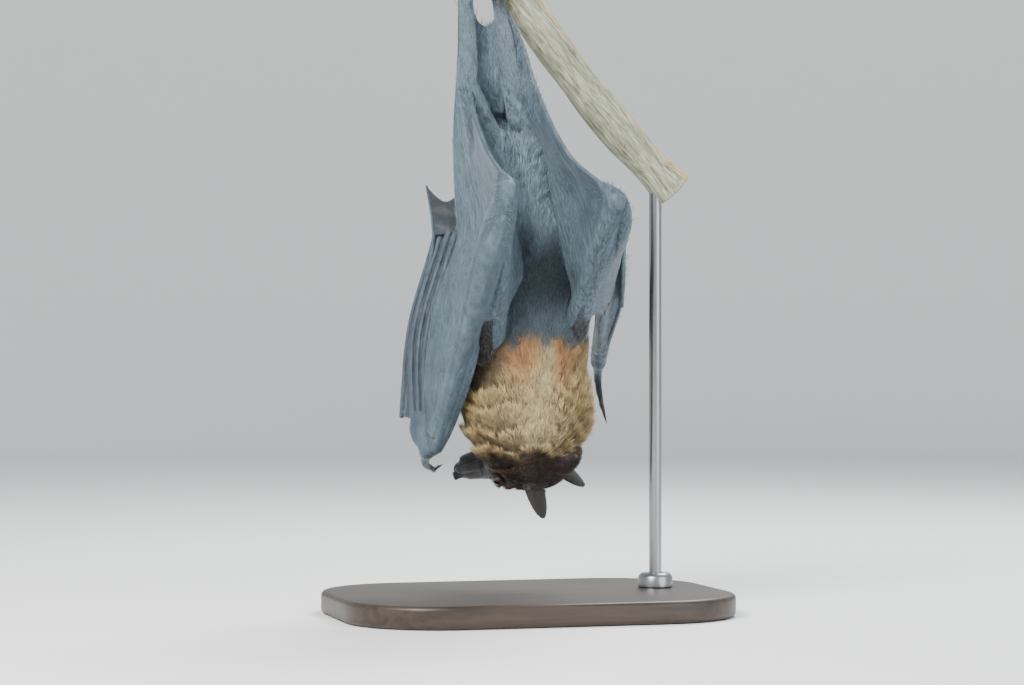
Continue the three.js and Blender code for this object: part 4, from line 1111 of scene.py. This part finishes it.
def grow(name, own, roots, normals, lie, length, width, lift, colourAt, unwrap, look, deep=0.6):
    # Each tuft is a flattened lock of three sides that bends over along the coat's lie, and ends in a point.
    count = len(roots)
    width, lift = np.broadcast_to(width, count), np.broadcast_to(lift, count)
    lie = unit(lie - normals * np.sum(lie * normals, 1)[:, None])
    sway = np.stack([waves(roots, 5.5, seed, 2) for seed in (61, 62, 63)], -1) * own["swirl"]
    sway += dice.normal(size=(count, 3)) * tuft["sway"]
    side = np.cross(normals, lie)
    lie = unit(lie + side * sway[:, :1] + normals * 0.12 * sway[:, 1:2])
    side = unit(np.cross(normals, lie))
    rise = np.tan(np.radians(lift))
    bow = dice.random(count) * 0.5 + 0.75

    def centre(t):
        up = (rise * t - tuft["bend"] * rise * t * t) * bow * length - tuft["root"] * (1 - t)
        drift = sway[:, 2] * 0.35 * t * t * length
        return roots + lie * (t * length)[:, None] + normals * up[:, None] + side * drift[:, None]

    rings, shares = [], (0.0, tuft["waist"])
    for share, wide in zip(shares, tuft["widths"]):
        middle, half = centre(share), (width * wide * 0.5)[:, None]
        rings += [middle - side * half, middle + side * half, middle + normals * half * 0.8]
    points = np.stack([*rings, centre(1)], 1)
    quads = [[j, (j + 1) % 3, 3 + (j + 1) % 3, 3 + j] for j in range(3)]
    tips = [[3 + j, 3 + (j + 1) % 3, 6] for j in range(3)] + [[0, 2, 1]]
    start = (np.arange(count) * points.shape[1])[:, None, None]
    faces = [(np.array(quads) + start).reshape(-1, 4), (np.array(tips) + start).reshape(-1, 3)]
    base, end = colourAt(roots, False), colourAt(roots, True)
    shade = (1 + 0.16 * dice.normal(size=count)).clip(0.55, 1.5)[:, None, None]
    # the root ring is darkened by deep: painted shade deep in the coat
    tones = np.stack([base * deep] * 3 + [mix(base, end, 0.55)] * 3 + [end], 1) * shade
    spots = [(j - 1, 2 * share - 1) for share in shares for j in (0, 2, 1)] + [(0, 1)]
    maps = unwrap(roots)[:, None] + np.array(spots) * tuft["patch"]
    tones, maps = tones.reshape(-1, 3).clip(0, 1), maps.reshape(-1, 2)
    piece = makePiece(name, points.reshape(-1, 3), faces, look, tones, maps)
    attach(piece, "root")
    print(name, count)


def aroundMap(turn, height, bottom, tall):  # a place in the map from a turn about the middle and a height
    return np.stack([turn / (2 * math.pi) * 0.98 + 0.5, (height - bottom) / tall], -1)


def limbUnwrap(*kinds):  # each limb has its own strip of the map
    def unwrap(points):
        found, away = whereabouts(points)[:2]
        maps = np.zeros((len(points), 2))
        strips = np.argmin(away[[regions.index(key) for key in kinds]], axis=0)
        for strip, key in enumerate(kinds):
            rows = strips == strip
            share, turn = found[key][1][rows], found[key][3][rows]
            maps[rows, 0] = (strip + 0.04 + 0.92 * (turn / (2 * math.pi) + 0.5)) / len(kinds)
            maps[rows, 1] = 0.02 + 0.96 * share
        return maps
    return unwrap


def trunkLie(points):  # towards the rump, parting along the middle of the back
    angle = aboutSpine(points)[0]
    outwards = np.stack([np.cos(angle), np.sin(angle), 0 * angle], -1)
    return vec(0, 0, 1) + outwards * (0.35 * np.sin(angle + 0.06))[:, None]


def limbLie(points):
    found, away = whereabouts(points)[:2]
    lie = np.stack([trunkLie(points)] + [found[key][2] for key in regions[1:]])
    return unit(np.einsum("kn,knc->nc", mound(away - away.min(axis=0), 0.3), lie))


def mantleTier(points):  # the mantle's loose tiers: level on the right of the body, slanting on the left
    angle, height = aboutSpine(points)
    slant = tier["slant"] * angle * blend(0.0, 0.4, angle) + 2.6 * waves(points, 26, 71, 2)
    return np.mod((height - tier["from"] + slant) / tier["deep"], 1)


def tiered(points):  # where the tiers show: not along the pale middle, and only well below the shoulders
    angle, height = aboutSpine(points)
    aside = np.maximum(blend(-0.3, -0.55, angle), blend(0.08, 0.3, angle))
    return blend(150, 138, height) * mix(0.25, 1, aside)


def mantleColour(points, tip):
    # painted shade and highlight across each tier of the mantle
    tierShade = mix(tier["dark"], tier["light"], blend(0, 1, mantleTier(points)))
    return trunkColour(points, tip) * mix(1, tierShade, tiered(points))[:, None]


def dressTrunk(part):
    own = coat[part]

    def weigh(p):
        angle, height = aboutSpine(p)
        away = whereabouts(p)[1]
        low = blend(172, 166, height + raggedEdge(p))
        rear = 0.55 + 0.45 * blend(2.4, 1.2, np.abs(angle))  # the back is seen most, so it is the densest
        trunk = blend(0.05, -0.05, away[0] - away[1:].min(axis=0)) * blend(1.3, 1.2, away[0])
        outside = np.linalg.norm(toHead(p) / vec(26, 19, 18), axis=1) >= 1
        return (low if part == "mantle" else 1 - low) * rear * trunk * outside

    for k in range(own["pieces"]):
        roots, across = scatter(flesh, own, weigh)
        height, count = roots[:, 2], len(roots)
        lie = trunkLie(roots)
        length = dice.uniform(*own["length"], count)
        lift = own["lift"] + dice.normal(size=count) * 4
        if part == "mantle":
            low, strong = mantleTier(roots), tiered(roots)
            length *= mix(0.9, mix(0.5, 0.9, low), strong) * (1 - 0.35 * blend(112, 96, height))
            lift += (30 * low - 6) * strong
            roots = roots + across * (1.4 * low * strong)[:, None]
        else:
            length *= 1 - 0.25 * blend(290, 318, height)
        width = own["width"] * dice.uniform(0.7, 1.25, count)
        grow(f"coat_{part}_{k + 1}", own, roots, across, lie, length, width, lift,
             mantleColour if part == "mantle" else trunkColour, lambda p: aroundMap(*aboutSpine(p), 80, 260),
             looks[part])


def dressLegs():
    own = coat["legs"]

    def weigh(p):
        away = whereabouts(p)[1]
        return blend(0.12, 0.0, nearest(away, "leg") - away.min(axis=0)) * (1 - 0.9 * towardsFoot(p))

    roots, across = scatter(flesh, own, weigh)
    length = dice.uniform(*own["length"], len(roots)) * mix(1.1, 0.6, blend(330, 395, roots[:, 2]))
    grow("coat_legs", own, roots, across, limbLie(roots), length * (1 - 0.5 * towardsFoot(roots)), own["width"],
         own["lift"], fleshColour, limbUnwrap("legleft", "legright"), looks["legs"], 0.85)


def dressArms():
    own = coat["arms"]

    def weigh(p):
        away, best = whereabouts(p)[1:]
        return byKind(best, upper=1, fore=0.45) * (away.min(axis=0) < 1.6)

    roots, across = scatter(flesh, own, weigh)
    upper = byKind(whereabouts(roots)[2], upper=1) > 0
    short, long = own["length"]
    count = len(roots)
    length = np.where(upper, dice.uniform(0.55, 1, count) * long, dice.uniform(0.8, 1.3, count) * short * 1.3)
    width, lift = own["width"] * np.where(upper, 1.4, 0.7), np.where(upper, own["lift"], 8)
    grow("coat_arms", own, roots, across, limbLie(roots), length, width, lift, fleshColour,
         limbUnwrap("upperleft", "upperright", "foreleft", "foreright"), looks["legs"], 0.9)


def dressWebs():  # fine hair on the flight skin next to the body and the legs, and on the skin between the legs
    own = coat["webs"]
    points, faces = joined([part for name, hand in hands for part in webs[name][:2]] + [tail])
    triangles = np.vstack([f[:, corners] for f in faces for corners in ([0, 1, 2], [0, 2, 3])])

    def weigh(p):
        a, b, c = cornersOf(points, triangles)
        flat = np.abs(unit(np.cross(b - a, c - a)) @ behind)
        return furCover(p) * blend(0.25, 0.5, flat)

    roots, across = scatter((points, triangles, cornerNormals(points, triangles)), own, weigh)
    length = dice.uniform(*own["length"], len(roots))
    grow("coat_webs", own, roots, across, limbLie(roots) + vec(0, 0, 0.8), length, own["width"], own["lift"],
         webHairColour, lambda p: aroundMap(*aboutSpine(p), 150, 260), looks["legs"], 0.95)


def alongEar(local):  # 0 at the root of the nearer ear, 1 at its tip
    root, tip = vec(*head["earRoot"]), vec(*head["earTip"])
    folded = np.column_stack([local[:, 0], np.abs(local[:, 1]), local[:, 2]])
    return (folded - root) @ (tip - root) / np.sum((tip - root) ** 2)


def dressFace():
    own = coat["face"]

    def fromEye(local, hand):
        return local - head["eye"] * vec(1, hand, 1)

    def weigh(p):
        local = toHead(p)
        ahead, out, lift = local.T
        share = blend(60, 56.5, ahead) * blend(0.66, 0.8, nearLine(p, *regionOf["trunk"])[0])
        share *= 0.5 + 0.5 * blend(62, 35, ahead)
        for hand in (-1, 1):
            share *= blend(5.6, 7.4, np.linalg.norm(fromEye(local, hand), axis=1))
        share *= 1 - 0.9 * mound(lift - face["mouth"], 0.9) * blend(27, 30, ahead)
        return share * mix(1, 0.05, blend(0.2, 0.4, alongEar(local)))

    roots, across = scatter(skull, own, weigh)
    local = toHead(roots)
    ahead, out, lift = local.T
    short, long = own["length"]
    onEar = blend(0.05, 0.3, alongEar(local))
    length = mix(long, short, blend(-2, 34, ahead)) * dice.uniform(0.75, 1.15, len(roots)) * (1 - 0.8 * onEar)
    lie = headUp * (0.25 * np.sign(lift) + 2.2 * onEar)[:, None] + headRight * (0.2 * np.sign(out))[:, None]
    lie -= head["ahead"]
    for hand in (-1, 1):  # the hair sweeps round the eyes
        way = fromEye(local, hand)
        lie += (unit(way) @ headAxes) * (1.3 * mound(np.linalg.norm(way, axis=1) - 6, 3.5))[:, None]

    def unwrap(p):
        ahead, out, lift = toHead(p).T
        return aroundMap(np.arctan2(out, lift), ahead, -22, 90)

    width = own["width"] * mix(1.25, 0.75, blend(0, 34, ahead)) * (1 - 0.5 * onEar)
    lift = own["lift"] * (1 - 0.6 * onEar)
    grow("coat_face", own, roots, across, lie, length, width, lift, headColour, unwrap, looks["face"])


looks = {
    "mantle": furLook("mantleFur", 0.62, 0.25, (1.0, 0.9, 0.7)),
    "back": furLook("backFur", 0.5, 0.35, (0.7, 0.88, 1.0)),
    "legs": furLook("legFur", 0.5, 0.3, (0.75, 0.9, 1.0)),
    "face": furLook("faceFur", 0.5, 0.25, (0.9, 0.9, 1.0)),
}
dressTrunk("mantle")
dressTrunk("back")
dressLegs()
dressArms()
dressWebs()
dressFace()


# Eyes and claws

iris = {
    "white": srgb(30, 22, 18),
    # angles from the eye's middle, in degrees, over which each colour gives way to the next one inwards
    "rings": [(57, 52, srgb(58, 30, 15)), (39, 32, srgb(26, 13, 8)), (29, 26, (0.002, 0.002, 0.002))],
}


def makeEyes():
    look = eyeLook()
    rows, columns = 40, 48
    lat, turn = np.meshgrid(np.linspace(0, math.pi, rows), circle(columns), indexing="ij")
    degrees = np.degrees(lat)
    bulge = 1 + 0.07 * mound(degrees, 26)  # the cornea
    for name, hand in hands:
        ahead, out, lift = head["eye"]
        gaze = unit(face["gaze"] * (1, -hand, 1)) @ headAxes
        across = unit(np.cross(gaze, vec(0.3, 0.2, 1)))
        over = np.cross(gaze, across)
        way = (gaze * np.cos(lat)[..., None] + across * (np.sin(lat) * np.cos(turn))[..., None]
               + over * (np.sin(lat) * np.sin(turn))[..., None])
        points = inHead(ahead, -hand * out, lift) + way * (head["eyeRadius"] - 0.25) * bulge[..., None]
        colour = vec(*iris["white"])
        for start, end, inner in iris["rings"]:
            colour = paint(colour, vec(*inner), blend(start, end, degrees.ravel()))
        points, faces = facingOut(points.reshape(-1, 3), [gridFaces(rows, columns, loop=True)])
        eye = makePiece("eyeball_" + name, points, faces, look, colour)
        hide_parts("eye_" + name)
        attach(eye, "root")


fingerClaws = {"thumb": (13, 2.2), "index": (9, 1.5)}  # length and thickness


def makeClaws():
    look = hornLook()
    for name, hand in hands:
        wing = wings[name]
        parts = toeClaws(name)
        parts.append(fingerClaw(*wing["thumb"], unit(wing["claw"] - wing["thumb"][1]), *fingerClaws["thumb"]))
        parts.append(fingerClaw(*handLines(wing)["index"][-2:], unit(wing["beside"]), *fingerClaws["index"]))
        piece = makePiece("claws_" + name, *joined(parts), look)
        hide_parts(*[f"claw_{name}_toe_{toe + 1}" for toe in range(foot["toes"])], f"claw_{name}_thumb",
                    f"claw_{name}_index")
        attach(piece, "root")


makeEyes()
makeClaws()
print("eyes and claws")


# Branch and stand

bark = {
    "around": 104, "along": 360, "grain": 0.45,
    "held": 26, "sagOver": 190,  # it is even where the feet hold it, and sags below them
    # where each knot is along and around, its size and its height
    "knots": [(52, 4.4, 7, 1.6), (118, 1.2, 6, 1.3), (-52, 5.2, 6, 1.4), (171, 3.6, 5.5, 1.2)],
}


def makeBranch():
    rows, columns = bark["along"], bark["around"]
    distance = np.linspace(-perch["up"], perch["down"], rows)
    stations = np.linspace(-perch["up"], perch["down"], 13)
    far = np.maximum(0, np.abs(stations) - bark["held"] - 2) / 100
    below = stations - bark["held"]
    sag = np.where(below > 0, np.sin(math.pi * np.minimum(1, below / bark["sagOver"])), 0)
    sizes = perch["radius"] * (1 + 0.07 * far * np.cos(stations * 0.09) + 0.06 * far)
    middle = curve([onBranch(d, 90, -perch["sag"] * s) for d, s in zip(stations, sag)])(np.linspace(0, 1, rows))
    radius = curve([(s, 0, 0) for s in sizes], even=True)(np.linspace(0, 1, rows))[:, 0]
    ahead = unit(np.gradient(middle, axis=0))
    across = unit(vec(0, 1, 0) - ahead * ahead[:, 1:2])
    over = np.cross(ahead, across)
    turn = circle(columns)
    ring = across[:, None] * np.cos(turn)[None, :, None] + over[:, None] * np.sin(turn)[None, :, None]
    local = np.stack(np.broadcast_arrays(np.cos(turn) * 11, np.sin(turn) * 11, distance[:, None] * 0.16), -1)
    fissures = -np.clip(waves(local * vec(1.7, 1.7, 0.7), 5.5, 83, 3) - 0.35, 0, 1)
    grip = blend(bark["held"] + 8, bark["held"], np.abs(distance))[:, None]  # smoother under the toes
    push = bark["grain"] * (0.5 * waves(local, 5, 81, 4) - 0.35 + 1.6 * fissures) * (1 - 0.6 * grip)
    for at, angle, size, height in bark["knots"]:
        gap = np.minimum(np.abs(turn - angle), 2 * math.pi - np.abs(turn - angle)) * 11
        away = np.hypot(distance[:, None] - at, gap)
        push = push + height * (mound(away, size) - 0.9 * mound(away, size * 0.42))
    place = middle[:, None] + ring * radius[:, None, None] + ring * push[..., None]

    rings, count = [place.reshape(-1, 3)], rows * columns
    faces = [gridFaces(rows, columns, loop=True)]
    for row, sign in ((0, -1), (rows - 1, 1)):  # the sawn ends, a little domed and ringed
        last = row * columns + np.arange(columns)
        for shrink, bulge in ((0.93, 0.5), (0.6, 0.75), (0.25, 0.85)):
            inner = count + np.arange(columns)
            rings.append(middle[row] + (place[row] - middle[row]) * shrink
                         + ahead[row] * (sign * bulge + 0.12 * math.sin(shrink * 40)))
            faces.append(np.stack([last, np.roll(last, -1), np.roll(inner, -1), inner], -1)[:, ::sign])
            last = inner
            count += columns
        rings.append((middle[row] + ahead[row] * sign * 0.85)[None])
        faces.append(fan(last, count)[:, ::sign])
        count += 1
    branch = makePiece("branch_bark", *facingOut(np.vstack(rings), faces), barkLook())
    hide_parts("branch")
    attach(branch, "root")


def barkLook():
    material, tree = newLook("bark")
    lengthwise = lambda thin: placeIn(tree, (thin, 1, 1), (0, perch["slope"], 0))
    grain = noiseIn(tree, lengthwise(0.12), 0.55, 6, 0.62, 0.6)
    patches = noiseIn(tree, placeIn(tree), 0.035, 4, 0.6, 0.8)
    wood = rampIn(tree, grain, (0.28, srgb(88, 84, 68)), (0.45, srgb(140, 140, 120)),
                  (0.62, srgb(178, 180, 158)), (0.8, srgb(206, 208, 188)))
    green = mixIn(tree, rampIn(tree, patches, (0.42, 0.0), (0.68, 0.45)), wood, srgb(118, 128, 98))
    # painted warm light: the upper side is painted lighter and a warm yellow, as if lit from above
    lifted = node(tree, "VectorMath", {0: placeIn(tree), 1: tuple(branchOver)}, "Value",
                  operation="DOT_PRODUCT")
    middle = float(perch["middle"] @ branchOver)
    height = node(tree, "MapRange", {"Value": lifted, "From Min": middle, "From Max": middle + 10})
    # the mask of the painted warm light on the upper side, broken up by the grain
    warmLitTop = node(tree, "Math", {0: height, 1: grain}, operation="MULTIPLY")
    warm = timesIn(tree, srgb(206, 164, 92), rampIn(tree, grain, (0.3, 0.5), (0.5, 0.86), (0.72, 1.15)))
    colour = mixIn(tree, rampIn(tree, warmLitTop, (0.1, 0.0), (0.46, 0.8)), green, warm)
    dark = rampIn(tree, noiseIn(tree, lengthwise(0.09), 0.9, 5, 0.7, 0.3), (0.36, 0.45), (0.46, 1.0))
    rough = bumpIn(tree, grain, 0.7, 0.8)
    setLook(tree, colour=timesIn(tree, colour, dark), roughness=0.82, gloss=0.25,
            normal=bumpIn(tree, noiseIn(tree, lengthwise(0.2), 3.2, 4), 0.25, 0.6, rough))
    return material


stand = {
    "length": 250, "depth": 180, "height": 14, "corner": 60, "edge": 3,
    "rodRadius": 4, "rodX": 88, "rodY": 8, "collarRadius": 11, "collarHeight": 9,
}


def standLooks():
    wood, tree = newLook("standWood")
    rings = noiseIn(tree, placeIn(tree, (0.1, 1, 1)), 0.12, 5, 0.6, 1.2)
    setLook(tree, colour=rampIn(tree, rings, (0.3, srgb(38, 30, 25)), (0.7, srgb(66, 52, 42))), roughness=0.42,
            gloss=0.45, normal=bumpIn(tree, noiseIn(tree, placeIn(tree, (0.08, 1, 1)), 0.9, 4), 0.12, 0.5))
    metal, tree = newLook("standMetal")
    setLook(tree, colour=srgb(150, 152, 155), roughness=0.3, metal=1.0)
    return wood, metal


def lathe(profile):  # turned about the rod's axis
    r, z = np.array(profile, float).T[..., None]
    turn = circle(96)
    x, y = stand["rodX"] + r * np.cos(turn), stand["rodY"] + r * np.sin(turn)
    points = np.stack(np.broadcast_arrays(x, y, z), -1)
    return facingOut(points.reshape(-1, 3), [gridFaces(len(profile), len(turn), loop=True)])


def basePlate():
    corner, edge, height = stand["corner"], stand["edge"], stand["height"]
    outline = []
    for sx, sy, start in ((1, -1, -90), (1, 1, 0), (-1, 1, 90), (-1, -1, 180)):
        for angle in np.radians(np.linspace(start, start + 90, 24)):
            outline.append((sx * (stand["length"] / 2 - corner), sy * (stand["depth"] / 2 - corner),
                            math.cos(angle), math.sin(angle)))
    cx, cy, nx, ny = np.array(outline).T
    bevel = np.radians(np.linspace(0, 90, 8))
    rows = [(corner - edge + edge * math.sin(a), edge - edge * math.cos(a)) for a in bevel]
    rows += [(corner - edge + edge * math.cos(a), height - edge + edge * math.sin(a)) for a in bevel]
    rings = [np.stack([cx + nx * r, cy + ny * r, 0 * cx + z], -1) for r, z in rows]
    count = len(rows) * len(cx)
    bottom, top = np.arange(len(cx)), np.arange(count - len(cx), count)
    faces = [gridFaces(len(rows), len(cx), loop=True),
             np.vstack([fan(bottom, count)[:, [1, 0, 2]], fan(top, count + 1)])]
    return facingOut(np.vstack([*rings, (0, 0, 0), (0, 0, height)]), faces)


def makeStand():
    wood, metal = standLooks()
    r, c, h, z = stand["rodRadius"], stand["collarRadius"], stand["collarHeight"], stand["height"] + 0.3
    top = perch["middle"][2] + (stand["rodX"] - perch["middle"][0]) * math.tan(branchSlope) - 3
    base = makePiece("base_plate", *basePlate(), wood)
    rod = makePiece("rod", *lathe([(0, 4), (r, 4), (r, top - 0.6), (r - 0.6, top), (0, top)]), metal)
    collar = makePiece("collar", *lathe([
        (r + 0.35, z), (c - 0.4, z), (c, z + 0.4), (c, z + h - 2.4), (c - 0.4, z + h - 1.8),
        (c - 1.8, z + h - 0.3), (c - 2.4, z + h), (r + 0.7, z + h), (r + 0.35, z + h - 0.3),
        (r + 0.35, z)]), metal)
    for piece, old, slot in ((base, "stand_base", "stand_wood"), (rod, "stand_rod", "stand_metal"),
                             (collar, "stand_collar", "stand_metal")):
        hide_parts(old)
        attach(piece, "root")
        sharp = piece.modifiers.new("edges", "EDGE_SPLIT")
        sharp.split_angle = math.radians(40)


makeBranch()
makeStand()
print("branch and stand")


# Floor, light and camera

studio = {
    "floor": 2500, "bend": 800, "wall": 1700, "paper": srgb(238, 238, 235),
    "sky": (0.82, 0.9, 1.0), "skyPower": 0.68, "lit": vec(-5, 0, 220),
    "lens": 100, "distance": 1792, "middle": vec(-10, 0, 171), "azimuth": math.radians(-16),
    "lamps": {  # turn and height in degrees, distance, size, power, tint
        "key": (-30, 34, 1500, 650, 42, (1.0, 0.98, 0.95)),
        "fill": (50, 12, 1700, 1300, 14, (0.86, 0.93, 1.0)),
        "rim": (150, 50, 1400, 700, 30, (0.95, 0.98, 1.0)),
    },
}


def makePaper():  # a wide shallow bowl
    material, tree = newLook("paper")
    setLook(tree, colour=studio["paper"], roughness=0.9, gloss=0.2)
    floor, bend = studio["floor"], studio["bend"]
    profile = [(1, 0), (floor / 2, 0)]  # distance from the middle, and height
    profile += [(floor + bend * math.sin(a), bend * (1 - math.cos(a))) for a in np.linspace(0, math.pi / 2, 32)]
    profile.append((floor + bend, studio["wall"]))
    turns = circle(160)
    points = np.array([(r * math.cos(a), r * math.sin(a), z - 0.4) for r, z in profile for a in turns])
    paper = makePiece("paper", points, [gridFaces(len(profile), len(turns), loop=True)], material)


def aim(name, thing, place, target):
    made = bpy.data.objects.new(name, thing)
    bpy.context.collection.objects.link(made)
    made.location = Vector(place * mm)
    made.rotation_mode = "QUATERNION"
    made.rotation_quaternion = Vector((target - place) * mm).to_track_quat("-Z", "Y")
    return made


def makeLight():
    world = bpy.data.worlds.new("studio")
    bpy.context.scene.world = world
    world.use_nodes = True
    sky = world.node_tree.nodes["Background"]
    sky.inputs["Color"].default_value = (*studio["sky"], 1)
    sky.inputs["Strength"].default_value = studio["skyPower"]
    for name, (turn, up, far, size, power, tint) in studio["lamps"].items():
        a, e = studio["azimuth"] + math.radians(turn), math.radians(up)
        lamp = bpy.data.lights.new(name, "AREA")
        lamp.shape = "DISK"
        lamp.size = size * mm
        lamp.energy = power
        lamp.color = tint
        way = vec(math.sin(a) * math.cos(e), -math.cos(a) * math.cos(e), math.sin(e))
        aim(name, lamp, studio["lit"] + far * way, studio["lit"])


def makeCamera():
    camera = bpy.data.cameras.new("camera")
    camera.lens = studio["lens"]
    camera.sensor_width = 36
    camera.clip_start, camera.clip_end = 0.01, 50
    ahead = vec(-math.sin(studio["azimuth"]), math.cos(studio["azimuth"]), 0)
    middle = studio["middle"]
    bpy.context.scene.camera = aim("camera", camera, middle - ahead * studio["distance"], middle)


makePaper()
makeLight()
makeCamera()
print("studio")
